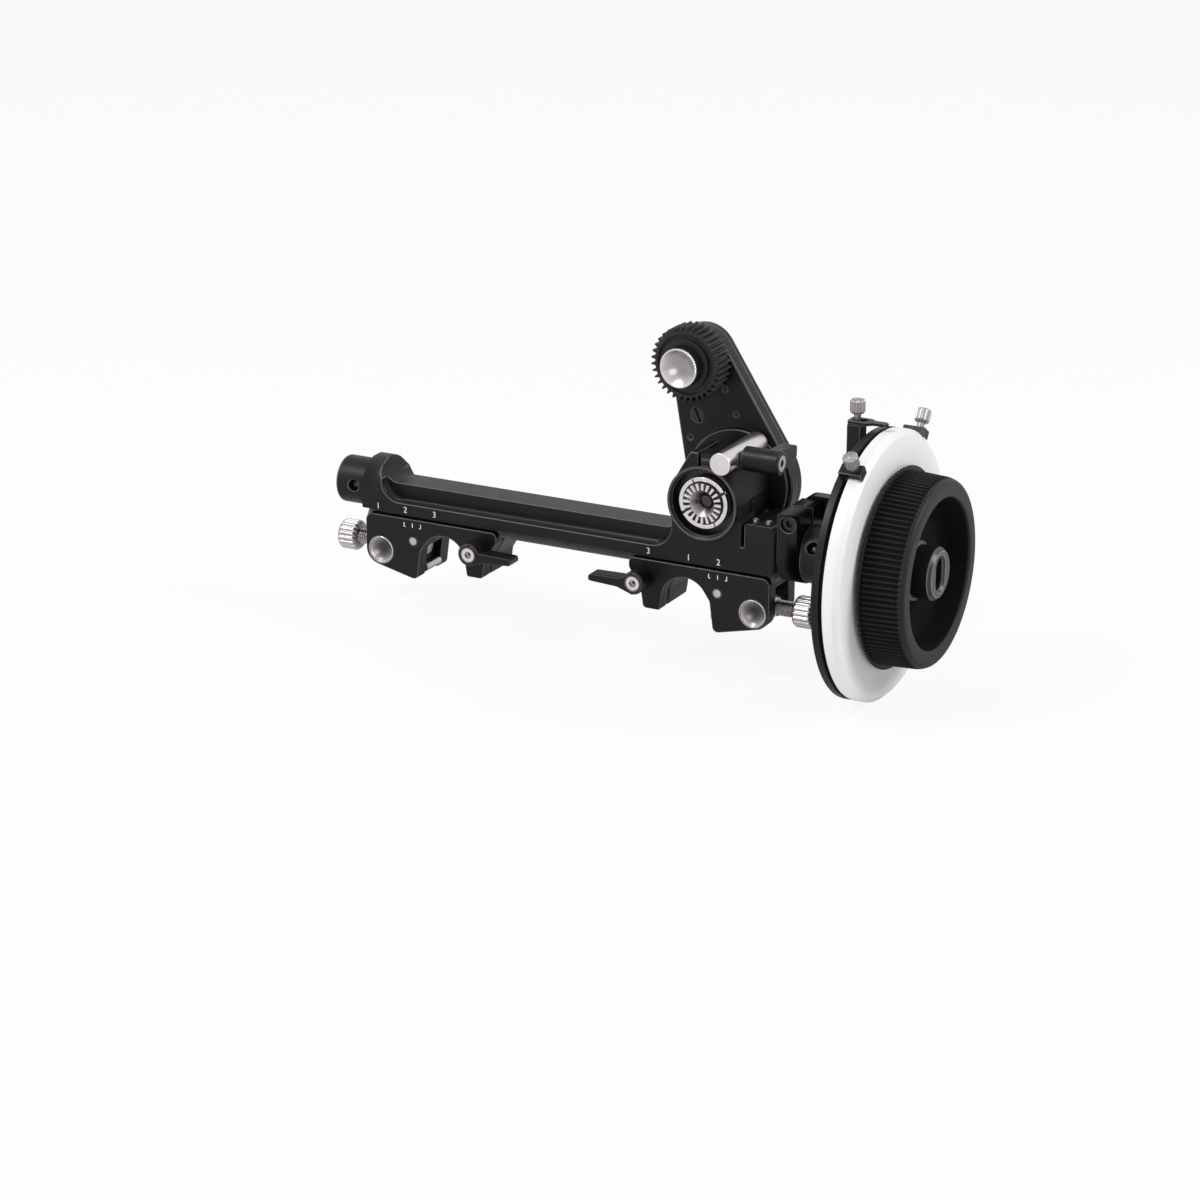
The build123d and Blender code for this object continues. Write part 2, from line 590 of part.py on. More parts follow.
def handwheel():
    """Dished handwheel with a thin flange behind, a slightly tapered grip and a rounded front rim."""
    start = (WHEEL_BACK, SHAFT_RADIUS)
    edge = WHEEL_BACK + WHEEL_FLANGE_WIDTH
    shoulder = WHEEL_FRONT - 3.4
    lip = WHEEL_RIM_RADIUS - 3.6
    rise = (WHEEL_RIM_RADIUS - lip) * 0.72
    profile = [
        Line(start, (WHEEL_BACK, WHEEL_RADIUS - 0.4)),
        Line((WHEEL_BACK, WHEEL_RADIUS - 0.4), (WHEEL_BACK + 0.4, WHEEL_RADIUS)),
        Line((WHEEL_BACK + 0.4, WHEEL_RADIUS), (edge - 0.4, WHEEL_RADIUS)),
        Line((edge - 0.4, WHEEL_RADIUS), (edge, WHEEL_RADIUS - 0.4)),
        Line((edge, WHEEL_RADIUS - 0.4), (edge, WHEEL_BODY_RADIUS)),
        Line((edge, WHEEL_BODY_RADIUS), (shoulder, WHEEL_RIM_RADIUS)),
        ThreePointArc((shoulder, WHEEL_RIM_RADIUS), (shoulder + 2.5, lip + rise), (WHEEL_FRONT, lip)),
        Line((WHEEL_FRONT, lip), (WHEEL_FRONT, WHEEL_MOUTH_RADIUS)),
        Line((WHEEL_FRONT, WHEEL_MOUTH_RADIUS), (WHEEL_FLOOR + 2.5, WHEEL_MOUTH_RADIUS - 1.5)),
        ThreePointArc((WHEEL_FLOOR + 2.5, WHEEL_MOUTH_RADIUS - 1.5),
                      (WHEEL_FLOOR + 0.7, WHEEL_MOUTH_RADIUS - 2.4), (WHEEL_FLOOR, WHEEL_MOUTH_RADIUS - 4.0)),
        Line((WHEEL_FLOOR, WHEEL_MOUTH_RADIUS - 4.0), (WHEEL_FLOOR, SHAFT_RADIUS)),
        Line((WHEEL_FLOOR, SHAFT_RADIUS), start),
    ]
    return Pos(0, 0, DRIVE_Z) * revolve(make_face(profile), Axis.X)


def crank_socket():
    """Boss in the middle of the wheel with a slot for a crank or a whip."""
    r, face = SOCKET_RADIUS, WHEEL_FRONT
    boss = turned_x(DRIVE_Z, (WHEEL_FLOOR, 0), (WHEEL_FLOOR, r + 1.2), (WHEEL_FLOOR + 1.6, r + 1.2),
                    (WHEEL_FLOOR + 1.6, r), (face - 1.4, r), (face, r - 1.4), (face, 0))
    slot = Pos(0, DRIVE_Z) * Rot(0, 0, 90) * SlotOverall(SOCKET_LENGTH, SOCKET_WIDTH)
    boss -= plate_x(slot, face - SOCKET_DEPTH, face + 1)
    mouth = boss.edges().group_by(Axis.X)[-1].sort_by(SortBy.LENGTH)[:-1]
    return chamfer(mouth, SOCKET_BEVEL)


# ================================================================ output shaft
def output_shaft():
    """Shaft across the gearbox that carries the rosette in front and drives the arm behind."""
    return bar_y(-9.0, ARM_SPLIT + 1.0, GEARBOX_X, GEARBOX_Z, OUTPUT_RADIUS)


def rosette():
    """Toothed coupling face in the mouth of the ring, with a conical centre and key notches."""
    front, back, r = RING_FRONT + 1.4, -9.0, ROSETTE_RADIUS
    body = turned_y(GEARBOX_X, GEARBOX_Z, (0, back), (r, back), (r, front + 0.3), (r - 0.3, front),
                    (r - 1.4, front), (r - 1.6, front + 0.5), (r - 1.8, front + 0.5), (5.4, front + 0.5),
                    (1.9, front + 2.0), (0, front + 2.0))
    tooth = plate_y(outline((-0.42, 5.2, 0), (0.42, 5.2, 0), (0.72, r - 1.9, 0), (-0.72, r - 1.9, 0)),
                    front, front + 0.6)
    for i in range(ROSETTE_TEETH):
        place = Pos(GEARBOX_X, 0, GEARBOX_Z) * Rot(0, 360 * i / ROSETTE_TEETH, 0)
        body += place * tooth
    for i in range(4):
        notch = Pos(GEARBOX_X, 0, GEARBOX_Z) * Rot(0, 30 + 90 * i, 0) * block(
            -0.5, 0.5, front - 1, front + 1.2, r - 1.7, r + 1)
        body -= notch
    return body - hex_hole_y(GEARBOX_X, GEARBOX_Z, front, ROSETTE_HOLE_ACROSS, ROSETTE_HOLE_DEPTH)


def cross_gear():
    """Large screw gear on the output shaft."""
    gear = screw_gear(CROSS_GEAR_TEETH, CROSS_RADIUS - SLIDE_GAP, CROSS_GEAR_WIDTH, OUTPUT_RADIUS)
    return Pos(GEARBOX_X, 0, GEARBOX_Z) * Rot(90, 0, 0) * gear


# ================================================================ swing arm
def arm_outline(shrink):
    """Teardrop between the large root and the small tip of the arm, made smaller by a wall."""
    root, tip = ARM_ROOT_RADIUS - shrink, ARM_TIP_RADIUS - shrink
    lean = (root - tip) / ARM_LENGTH
    across, along = sqrt(1 - lean ** 2), lean
    sides = make_face(Polyline(
        (-root * across, root * along), (-tip * across, ARM_LENGTH + tip * along),
        (tip * across, ARM_LENGTH + tip * along), (root * across, root * along), close=True))
    return sides + Circle(root) + Pos(0, ARM_LENGTH) * Circle(tip)


def train_space():
    """Room for the three gears of the arm, open to the back of the body."""
    room = 1.5
    faces = Sketch()
    for along, teeth in train():
        faces += Pos(0, along) * Circle(GEAR_MODULE * (teeth / 2 + room))
    return plate_y(faces, TRAIN_FRONT - FREE_GAP, ARM_SPLIT)


def train():
    """Gears of the arm as (place along the arm, teeth)."""
    return [(0, SUN_TEETH), (IDLER_ALONG, IDLER_TEETH), (ARM_LENGTH, OUTPUT_TEETH)]


def arm_body():
    """Front casting of the swing arm."""
    body = plate_y(arm_outline(0), ARM_FRONT, ARM_SPLIT)
    rim = body.edges().filter_by(Plane.XZ).group_by(Axis.Y)[0]
    body = chamfer(rim, 0.4)
    body -= bar_y(ARM_FRONT, ARM_RECESS, 0, 0, FLANGE_RADIUS + 0.2)
    body -= train_space()
    body -= bar_y(ARM_FRONT, ARM_SPLIT, 0, 0, OUTPUT_RADIUS + FREE_GAP)
    body -= bar_y(ARM_FRONT, ARM_SPLIT, 0, ARM_LENGTH, SPINDLE_BEARING_RADIUS)
    body -= bar_y(ARM_FRONT + IDLER_SKIN, ARM_SPLIT, 0, IDLER_ALONG, IDLER_AXLE_RADIUS)
    for x, z in cover_screw_places():
        body -= bar_y(ARM_SPLIT - ARM_SCREW_GRIP, ARM_SPLIT, x, z, ARM_SCREW_RADIUS)
    for x, z in front_screw_places():
        body -= bar_y(ARM_FRONT, ARM_FRONT + FRONT_SCREW_DEPTH, x, z, ARM_SCREW_RADIUS)
    body -= adjuster_space()
    return in_arm(body)


def adjuster_space():
    """Counterbore for the slotted backlash adjuster."""
    return bar_y(ARM_FRONT, ARM_FRONT + 1.2, ADJUSTER_ACROSS, ADJUSTER_ALONG, ADJUSTER_RADIUS)


def arm_cover():
    """Back cover of the swing arm with the rear spindle bearing seat."""
    cover = plate_y(arm_outline(0), ARM_SPLIT, ARM_BACK)
    rim = cover.edges().filter_by(Plane.XZ).group_by(Axis.Y)[-1]
    cover = chamfer(rim, 0.5)
    pocket = Pos(0, ARM_SPLIT - TRAIN_FRONT - 2.7, 0) * train_space()
    across, top = 2 * ARM_ROOT_RADIUS, ARM_LENGTH + 2 * ARM_TIP_RADIUS
    cover -= pocket & block(-across, across, ARM_SPLIT, ARM_SPLIT + POCKET_DEPTH, -across, top)
    cover -= bar_y(ARM_SPLIT, ARM_SPLIT + 1.6, 0, 0, OUTPUT_RADIUS + FREE_GAP)
    cover -= bar_y(ARM_SPLIT, ARM_SPLIT + 2.2, 0, ARM_LENGTH, SPINDLE_BEARING_RADIUS)
    cover -= bar_y(ARM_SPLIT, ARM_SPLIT + 2.0, 0, IDLER_ALONG, IDLER_AXLE_RADIUS)
    for x, z in cover_screw_places():
        cover -= bar_y(ARM_SPLIT, ARM_BACK, x, z, ARM_SCREW_RADIUS)
        cover -= bar_y(ARM_BACK - ARM_SCREW_HEAD_DEPTH, ARM_BACK, x, z, ARM_SCREW_HEAD_RADIUS)
    return in_arm(cover)


def cover_screw_places():
    """Screws through the cover as (across, along) the arm."""
    return [(11.2, 36.0), (13.0, 24.4), (-14.4, 20.6), (-9.0, 40.0)]


def front_screw_places():
    """Short screws in the front of the arm as (across, along) the arm."""
    return [(6.5, 34.8), (7.6, 24.5), (-14.2, 20.8)]


def arm_cover_screws():
    """Screws that hold the cover from behind, and the short screws in the front of the arm."""
    screws = []
    neck = ARM_BACK - ARM_SCREW_HEAD_DEPTH
    for x, z in cover_screw_places():
        screw = bar_y(neck, ARM_BACK - 0.2, x, z, ARM_SCREW_HEAD_RADIUS)
        screw += bar_y(ARM_SPLIT - ARM_SCREW_GRIP, neck, x, z, ARM_SCREW_RADIUS)
        screws.append(in_arm(screw - hex_hole_y(x, z, neck + 0.4, 1.5, 2.0)))
    for x, z in front_screw_places():
        screw = bar_y(ARM_FRONT + 0.3, ARM_FRONT + FRONT_SCREW_DEPTH, x, z, ARM_SCREW_RADIUS)
        screws.append(in_arm(screw - hex_hole_y(x, z, ARM_FRONT + 0.3, 0.9, 0.5)))
    return Compound(screws)


def backlash_screw():
    """Slotted adjuster on the front of the arm."""
    head = bar_y(ARM_FRONT - 0.3, ARM_FRONT + 1.2, ADJUSTER_ACROSS, ADJUSTER_ALONG, ADJUSTER_RADIUS)
    slot = Pos(ADJUSTER_ACROSS, 0, ADJUSTER_ALONG) * Rot(0, -4, 0) * block(
        -0.4, 0.4, ARM_FRONT - 1, ARM_FRONT + 0.5, -ADJUSTER_RADIUS, ADJUSTER_RADIUS)
    return in_arm(head - slot)


def idler_axle():
    """Fixed axle of the idler."""
    return in_arm(bar_y(ARM_FRONT + IDLER_SKIN, ARM_SPLIT + 2.0, 0, IDLER_ALONG, IDLER_AXLE_RADIUS))


def spindle_bearings():
    """Front and rear bearings of the gear spindle."""
    rings = []
    for y0, y1 in ((ARM_FRONT, ARM_FRONT + 1.4), (ARM_SPLIT + 0.8, ARM_SPLIT + 2.2)):
        rings.append(in_arm(bar_y(y0, y1, 0, ARM_LENGTH, SPINDLE_BEARING_RADIUS)
                            - bar_y(y0, y1, 0, ARM_LENGTH, SPINDLE_RADIUS + RUN_GAP)))
    return Compound(rings)


def train_gear(index, bore, phase):
    """One gear of the arm's train, in its place on the arm."""
    along, teeth = train()[index]
    face = Pos(0, along) * spur_face(teeth, bore, phase)
    return in_arm(plate_y(face, TRAIN_FRONT, TRAIN_FRONT + TRAIN_WIDTH))


def sun_gear():
    """Gear on the output shaft, with a tooth towards the idler."""
    return train_gear(0, OUTPUT_RADIUS + RUN_GAP, 0)


def idler_gear():
    """Gear between sun and output, with a tooth towards the output gear."""
    return train_gear(1, IDLER_AXLE_RADIUS + RUN_GAP, 0)


def arm_output_gear():
    """Gear on the spindle, with a gap towards the idler."""
    return train_gear(2, SPINDLE_RADIUS, 180 + 180 / OUTPUT_TEETH)


def gear_spindle():
    """Spindle in the arm's tip with a seat and a stud for the drive gear."""
    seat = bar_y(DRIVE_GEAR_FRONT + DRIVE_GEAR_WIDTH, ARM_FRONT - 0.2, 0, ARM_LENGTH, SPINDLE_SEAT_RADIUS)
    core = bar_y(DRIVE_GEAR_FRONT, ARM_SPLIT + 2.2, 0, ARM_LENGTH, SPINDLE_RADIUS)
    stud = bar_y(NUT_FRONT + 3.2, DRIVE_GEAR_FRONT, 0, ARM_LENGTH, SPINDLE_STUD_RADIUS)
    return in_arm(seat + core + stud)


def drive_gear():
    """Lens gear with a raised hub face; its teeth run its full width."""
    y0, y1 = DRIVE_GEAR_FRONT, DRIVE_GEAR_FRONT + DRIVE_GEAR_WIDTH
    face = Pos(0, ARM_LENGTH) * spur_face(DRIVE_TEETH, SPINDLE_RADIUS, play=0.3)
    gear = plate_y(face, y0, y1)
    dish = bar_y(y0, y0 + 1.0, 0, ARM_LENGTH, 11.4) - bar_y(y0, y0 + 1.0, 0, ARM_LENGTH, GEAR_HUB_RADIUS)
    gear -= dish
    hub = bar_y(y0 - 1.0, y0, 0, ARM_LENGTH, GEAR_HUB_RADIUS)
    hub -= bar_y(y0 - 1.0, y0, 0, ARM_LENGTH, SPINDLE_RADIUS)
    return in_arm(gear + hub)


def gear_nut():
    """Knurled nut with a dished face that holds the drive gear on its spindle."""
    back, r = DRIVE_GEAR_FRONT - 1.0 - SLIDE_GAP, NUT_RADIUS
    nut = turned_y(0, ARM_LENGTH, (0, back), (r - 0.5, back), (r, back - 0.5), (r, NUT_FRONT + 0.5),
                   (r - 0.5, NUT_FRONT), (r - 1.1, NUT_FRONT), (2.2, NUT_FRONT + 2.4), (0, NUT_FRONT + 2.4))
    return in_arm(nut - bar_y(NUT_FRONT + 3.1, back, 0, ARM_LENGTH, SPINDLE_STUD_RADIUS + RUN_GAP))


# ================================================================ index bracket, arm and hard stops
def index_bracket():
    """Split collar with a round bottom, clamped on the beam's spigot, with a strut behind the hub."""
    y, x = BRACKET_HALF_WIDTH, bracket_screw_x()
    ring = bar_x(BRACKET_LEFT, BRACKET_RIGHT, 0, DRIVE_Z, y)
    ring += plate_x(outline((-y, DRIVE_Z, 0), (y, DRIVE_Z, 0), (y, BRACKET_TOP, 0.8), (-y, BRACKET_TOP, 0.8)),
                    BRACKET_LEFT, BRACKET_RIGHT)
    strut = block(x, INDEX_LEFT, RIGHT_HUB_RADIUS + 2 * FREE_GAP, STRUT_BACK, STRUT_BOTTOM, STRUT_TOP)
    strut += bar_y(y, STRUT_BACK, x, (STRUT_BOTTOM + STRUT_TOP) / 2, (STRUT_TOP - STRUT_BOTTOM) / 2)
    bracket = ring + strut
    bracket -= bar_x(BRACKET_LEFT, BRACKET_RIGHT, 0, DRIVE_Z, SPIGOT_RADIUS)
    bracket -= block(BRACKET_LEFT, BRACKET_RIGHT, 0.1, 0.1 + SLIT_WIDTH, DRIVE_Z, BRACKET_TOP)
    bracket -= bar_y(-y, -y + 4, x, BRACKET_SCREW_Z, BRACKET_HOLE_RADIUS)
    return bracket - bar_y(-y, STRUT_BACK, x, BRACKET_SCREW_Z, BRACKET_SCREW_RADIUS)


def bracket_screw_x():
    """Middle of the bracket along X."""
    return (BRACKET_LEFT + BRACKET_RIGHT) / 2


def bracket_screw():
    """Recessed clamp screw of the bracket, with its point just showing behind."""
    x, y, z = bracket_screw_x(), BRACKET_HALF_WIDTH, BRACKET_SCREW_Z
    screw = bar_y(-y + 1.4, -y + 4, x, z, BRACKET_HOLE_RADIUS - 0.2)
    screw += bar_y(-y + 4, STRUT_BACK + 0.8, x, z, BRACKET_SCREW_RADIUS)
    return screw - hex_hole_y(x, z, -y + 1.4, 2.6, 1.4)


def index_arm():
    """Upright behind the back plate, bent back at its foot to meet the bracket's strut."""
    half = INDEX_WIDTH / 2
    face = outline((-half, INDEX_TOP, 0.8), (half, INDEX_TOP, 0.8), (half, 57.0, 6.0), (STRUT_BACK, 43.0, 2.0),
                   (STRUT_BACK, STRUT_BOTTOM, 0.6), (RIGHT_HUB_RADIUS + 2 * FREE_GAP, STRUT_BOTTOM, 0.6),
                   (-half, 38.0, 1.0))
    arm = plate_x(face, INDEX_LEFT, INDEX_RIGHT)
    return arm - bar_z(INDEX_TOP - 6, INDEX_TOP, index_screw_x(), 0, SMALL_THREAD_RADIUS + RUN_GAP)


def index_screw_x():
    """Place of the index screw along X, just left of the middle of the arm's top."""
    return (INDEX_LEFT + INDEX_RIGHT) / 2 + 0.2


def index_pointer():
    """Flat pointer over the rim: a slotted foot under the screw and a narrow finger with a point."""
    foot, finger = INDEX_WIDTH / 2, POINTER_WIDTH / 2
    shoulder = INDEX_RIGHT + POINTER_SHOULDER
    face = outline((INDEX_LEFT, -foot, 1.0), (shoulder - 2, -foot, 0.8), (shoulder, -finger, 0.8),
                   (POINTER_TIP - 1.2, -finger, 0), (POINTER_TIP, 0, 0), (POINTER_TIP - 1.2, finger, 0),
                   (shoulder, finger, 0.8), (shoulder - 2, foot, 0.8), (INDEX_LEFT, foot, 1.0))
    slot = Pos(index_screw_x() + POINTER_SLOT / 5, 0) * SlotOverall(POINTER_SLOT, 2 * SMALL_THREAD_RADIUS + 0.3)
    return Pos(0, 0, INDEX_TOP) * extrude(face - slot, POINTER_THICKNESS)


def small_thumbscrew(seat, grip):
    """Small knurled screw along +Z: thread up to the seat, neck and head in one."""
    thread, r, top = SMALL_THREAD_RADIUS, SMALL_HEAD_RADIUS, seat + SMALL_NECK + SMALL_HEAD_LENGTH
    points = [(0, seat - grip), (thread, seat - grip), (thread, seat + SMALL_NECK),
              (r - 0.7, seat + SMALL_NECK), (r, seat + SMALL_NECK + 0.7), (r, top - 0.5), (r - 0.5, top), (0, top)]
    return revolve(make_face(Polyline(*points, close=True)).rotate(Axis.X, 90), Axis.Z)


def index_screw():
    """Knurled screw that clamps the pointer on the index arm."""
    return Pos(index_screw_x(), 0, 0) * small_thumbscrew(INDEX_TOP + POINTER_THICKNESS, POINTER_THICKNESS + 5)


def stop_block(angle):
    """Hard stop: a bar over the rim, with a tongue in the plate's groove and a lip over the bevel."""
    inner, outer = PLATE_RADIUS + FREE_GAP, PLATE_RADIUS + FREE_GAP + STOP_HEIGHT
    tongue = (RIM_GROOVE_LEFT + FREE_GAP, RIM_GROOVE_LEFT + RIM_GROOVE_WIDTH - FREE_GAP)
    deep = PLATE_RADIUS - RIM_GROOVE_DEPTH + FREE_GAP
    bevel = MARK_FRONT - RING_BEVEL + 0.4 * FREE_GAP
    side = outline(
        (STOP_LEFT, inner, 0), (tongue[0], inner, 0), (tongue[0], deep, 0), (tongue[1], deep, 0),
        (tongue[1], inner, 0), (bevel, inner, 0), (STOP_RIGHT, inner - (STOP_RIGHT - bevel), 0),
        (STOP_RIGHT, outer, 0.7), (STOP_LEFT, outer, 0.5))
    bar = plate_y(side, -STOP_WIDTH / 2, STOP_WIDTH / 2)
    bar -= bar_x(STOP_LEFT, bevel, 0, 0, inner - 0.05) & block(
        tongue[1] + 0.01, bevel, -STOP_WIDTH, STOP_WIDTH, 0, inner)
    bar -= bar_z(inner - 1, outer, STOP_SCREW_X, 0, SMALL_THREAD_RADIUS + RUN_GAP)
    return on_rim(bar, angle)


def stop_screw(angle):
    """Knurled screw that presses the hard stop on the rim."""
    seat = PLATE_RADIUS + FREE_GAP + STOP_HEIGHT
    return on_rim(Pos(STOP_SCREW_X, 0, 0) * small_thumbscrew(seat, STOP_HEIGHT), angle)


# ================================================================ rod clamps, drawn on the right
def clamp_body():
    """Forked clamp with a rod arch, a dovetail groove, a small split jaw and a latch space."""
    spring_z = 3.0
    reach = sqrt(ROD_BORE ** 2 - spring_z ** 2)
    lead = radians(35)
    side = outline(
        (CLAMP_INNER, CLAMP_TOP, 2.0), (CLAMP_OUTER, CLAMP_TOP, 3.0),
        (CLAMP_OUTER, -4.85, BARREL_RADIUS + 1.0), (CLAMP_FOOT, -10.2, 2.2), (ARCH_FOOT, 2.0, 2.0),
        (ROD_X + ROD_BORE * cos(lead), ROD_BORE * sin(lead), 0),
        (ROD_X - reach, spring_z, 0), (JAW_FOOT, -4.9, 1.0), (KIP_X - 0.6, -4.9, 1.6),
        (KIP_X - 1.6, 2.0, 2.0), (CLAMP_INNER, 10.4, 2.0))
    w, gap = CLAMP_HALF_WIDTH, SLIDE_GAP
    body = plate_y(side, -w, w)
    body -= bar_y(-w, w, ROD_X, 0, ROD_BORE)
    groove = outline((-RAIL_HALF_BOTTOM - gap, GROOVE_FLOOR, 0), (RAIL_HALF_BOTTOM + gap, GROOVE_FLOOR, 0),
                     (RAIL_HALF_TOP + 1.3 * gap, BEAM_BOTTOM, 0), (-RAIL_HALF_TOP - 1.3 * gap, BEAM_BOTTOM, 0))
    body -= plate_x(groove, CLAMP_INNER, CLAMP_OUTER)
    wall, ceiling = PIVOT_X - 4.0, GROOVE_FLOOR - 2.6
    latch_room = outline((wall, ceiling, 0), (CLAMP_OUTER, ceiling, 0),
                         (CLAMP_OUTER, -12, 0), (ROD_X, -12, 0), (ROD_X, spring_z - 0.4, 0),
                         (wall, spring_z - 0.4, 0))
    body -= plate_y(latch_room, -FORK_HALF_GAP, FORK_HALF_GAP)
    body -= block(CLAMP_INNER - 1, JAW_SLIT_END, -FORK_HALF_GAP, -FORK_HALF_GAP + JAW_SLIT, -6, CLAMP_TOP)
    body -= bar_y(-w, w, BARREL_X, 0, BARREL_RADIUS)
    body -= bar_y(-w, w, PIVOT_X, PIVOT_Z, PIVOT_RADIUS)
    return body - bar_y(-w, w - 3, KIP_X, KIP_Z, KIP_STUD_RADIUS + RUN_GAP)


def barrel_nut():
    """Cross nut for the thumbscrew, dished at both ends."""
    w, r = CLAMP_HALF_WIDTH, BARREL_RADIUS
    nut = turned_y(BARREL_X, 0, (0, -w + 2.6), (2.0, -w + 2.6), (r - 0.9, -w - 0.1), (r - 0.3, -w - 0.1),
                   (r, -w + 0.2), (r, w - 0.2), (r - 0.3, w + 0.1), (r - 0.9, w + 0.1), (2.0, w - 2.6), (0, w - 2.6))
    return nut - bar_x(BARREL_X - r, BARREL_X + r, 0, 0, THREAD_RADIUS + RUN_GAP)


def pivot_pin():
    """Dowel that the latch jaw swings on."""
    return bar_y(-CLAMP_HALF_WIDTH, CLAMP_HALF_WIDTH, PIVOT_X, PIVOT_Z, PIVOT_RADIUS)


def latch_jaw():
    """Jaw that swings beside the rod, pushed by the thumbscrew and hollowed on the rod's side."""
    half = LATCH_THICKNESS / 2
    link = Pos(PIVOT_X, PIVOT_Z) * Circle(PIVOT_RADIUS + 1.9)
    link += make_face(Polyline((PIVOT_X - 3.2, PIVOT_Z - 1.0), (PIVOT_X + 3.4, PIVOT_Z), (LATCH_BACK, 1.4),
                               (LATCH_BACK, -1.4), (ROLLER_X + 3.6, ROLLER_Z - 0.4),
                               (ROLLER_X + 1.6, ROLLER_Z - 1.6), (ROLLER_X - 0.5, ROLLER_Z - 1.0), close=True))
    jaw = plate_y(link, -half, half)
    jaw -= bar_y(-half, half, ROD_X, 0, LATCH_RADIUS)
    jaw -= bar_y(-half, half, PIVOT_X, PIVOT_Z, PIVOT_RADIUS + RUN_GAP)
    return jaw - latch_pins()


def latch_pins():
    """Steel roller at the latch's lower end that bears on the rod, and the pad behind the rod."""
    half = LATCH_THICKNESS / 2
    return (bar_y(-half, half, ROLLER_X, ROLLER_Z, ROLLER_RADIUS)
            + bar_x(ROD_X + LATCH_RADIUS - 0.2, LATCH_BACK - 1.2, 0, 0, PAD_RADIUS))


def opened(part, angle):
    """Latch piece swung away from the rod about its pivot."""
    return Pos(PIVOT_X, 0, PIVOT_Z) * Rot(0, -angle, 0) * Pos(-PIVOT_X, 0, -PIVOT_Z) * part


def thumbscrew_tip_x():
    """Where the thumbscrew's point stands behind the latch when tight."""
    return LATCH_BACK + SLIDE_GAP


def thumbscrew_stud():
    """Threaded stud through the barrel nut, with a rounded point."""
    tip = thumbscrew_tip_x()
    return turned_x(0, (tip, 0), (tip, 1.4), (tip + 1.2, THREAD_RADIUS), (tip + STUD_REACH, THREAD_RADIUS),
                    (tip + STUD_REACH, 0))


def thumbscrew_knob():
    """Knurled knob on the stud, with a neck on its inner side."""
    start, r = thumbscrew_tip_x() + STUD_REACH, KNOB_RADIUS
    inner = start - 2.0
    return turned_x(0, (inner, THREAD_RADIUS + RUN_GAP), (inner, r - 0.8), (inner + 0.8, r),
                    (inner + KNOB_LENGTH - 0.8, r), (inner + KNOB_LENGTH, r - 0.8), (inner + KNOB_LENGTH, 0),
                    (start, 0), (start, THREAD_RADIUS + RUN_GAP))


def kip_lever():
    """Small locking lever: round hub in front of the clamp with a flat arm towards the middle."""
    y0, y1, r = KIP_FRONT, KIP_FRONT + KIP_HUB_LENGTH, KIP_HUB_RADIUS
    hub = turned_y(KIP_X, KIP_Z, (0, y0), (r - 0.5, y0), (r, y0 + 0.5), (r, y1 - 3.5), (r - 0.7, y1 - 2.8),
                   (r - 0.7, y1), (0, y1))
    end = KIP_X - KIP_ARM_LENGTH
    arm = outline((KIP_X, KIP_Z + r, 0), (KIP_X - 5.0, KIP_Z + 1.3, 2.5), (end, KIP_Z + 1.0, 1.1),
                  (end, KIP_Z - 1.6, 1.1), (KIP_X - 6.5, KIP_Z - 2.2, 3.0), (KIP_X, KIP_Z - r, 0))
    lever = hub + plate_y(arm, y0, y0 + 6.4)
    lever -= bar_y(y0, y0 + 3.0, KIP_X, KIP_Z, 2.7)
    return lever - bar_y(y0, y1, KIP_X, KIP_Z, KIP_STUD_RADIUS)


def kip_screw():
    """Silver socket screw in the lever whose stud squeezes the front leaf on the rail."""
    head = bar_y(KIP_FRONT + 0.2, KIP_FRONT + 3.0, KIP_X, KIP_Z, 2.7)
    stud = bar_y(KIP_FRONT + 3.0, CLAMP_HALF_WIDTH - 4, KIP_X, KIP_Z, KIP_STUD_RADIUS)
    return head + stud - hex_hole_y(KIP_X, KIP_Z, KIP_FRONT + 0.2, 2.6, 1.8)


CLAMP_PIECES = {
    "clamp_body": clamp_body, "barrel_nut": barrel_nut, "pivot_pin": pivot_pin, "latch_jaw": latch_jaw,
    "latch_pins": latch_pins, "thumbscrew_stud": thumbscrew_stud, "thumbscrew_knob": thumbscrew_knob,
    "kip_lever": kip_lever, "kip_screw": kip_screw,
}
SCREW_PIECES = ("thumbscrew_stud", "thumbscrew_knob")
LATCH_PIECES = ("latch_jaw", "latch_pins")

SINGLE_PIECES = [
    bridge_beam, dovetail_rail, rail_screws, boss_set_screws, gearbox_flange, gearbox_bearings, saddle_rod,
    collar_lever, collar_lever_screw, drive_shaft, shaft_gear, left_hub, right_hub, hub_balls, back_plate,
    marking_ring, handwheel, crank_socket, output_shaft, rosette, cross_gear, sun_gear, idler_gear,
    arm_output_gear, arm_body, arm_cover, arm_cover_screws, backlash_screw, idler_axle, spindle_bearings,
    gear_spindle, drive_gear, gear_nut, index_bracket, bracket_screw, index_arm, index_pointer, index_screw,
]


def assembly():
    """Every piece by its name."""
    pieces = {make.__name__: make() for make in SINGLE_PIECES}
    for stop, angle in STOP_ANGLES.items():
        pieces[f"stop_{stop}_block"] = stop_block(angle)
        pieces[f"stop_{stop}_screw"] = stop_screw(angle)
    for name, make in CLAMP_PIECES.items():
        piece = make()
        pieces[f"right_{name}"] = piece
        if name in SCREW_PIECES:
            piece = Pos(LEFT_SCREW_OUT, 0, 0) * piece
        if name in LATCH_PIECES:
            piece = opened(piece, LEFT_LATCH_OPEN)
        pieces[f"left_{name}"] = mirrored(piece)
    return pieces


os.makedirs("parts", exist_ok=True)
for name, piece in assembly().items():
    export_step(piece, f"parts/{name}.step")
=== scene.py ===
"""Looks of a follow focus unit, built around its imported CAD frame.

Lengths are metres in the row frame. Turned pieces are drawn about +X and then moved to their axes.
"""

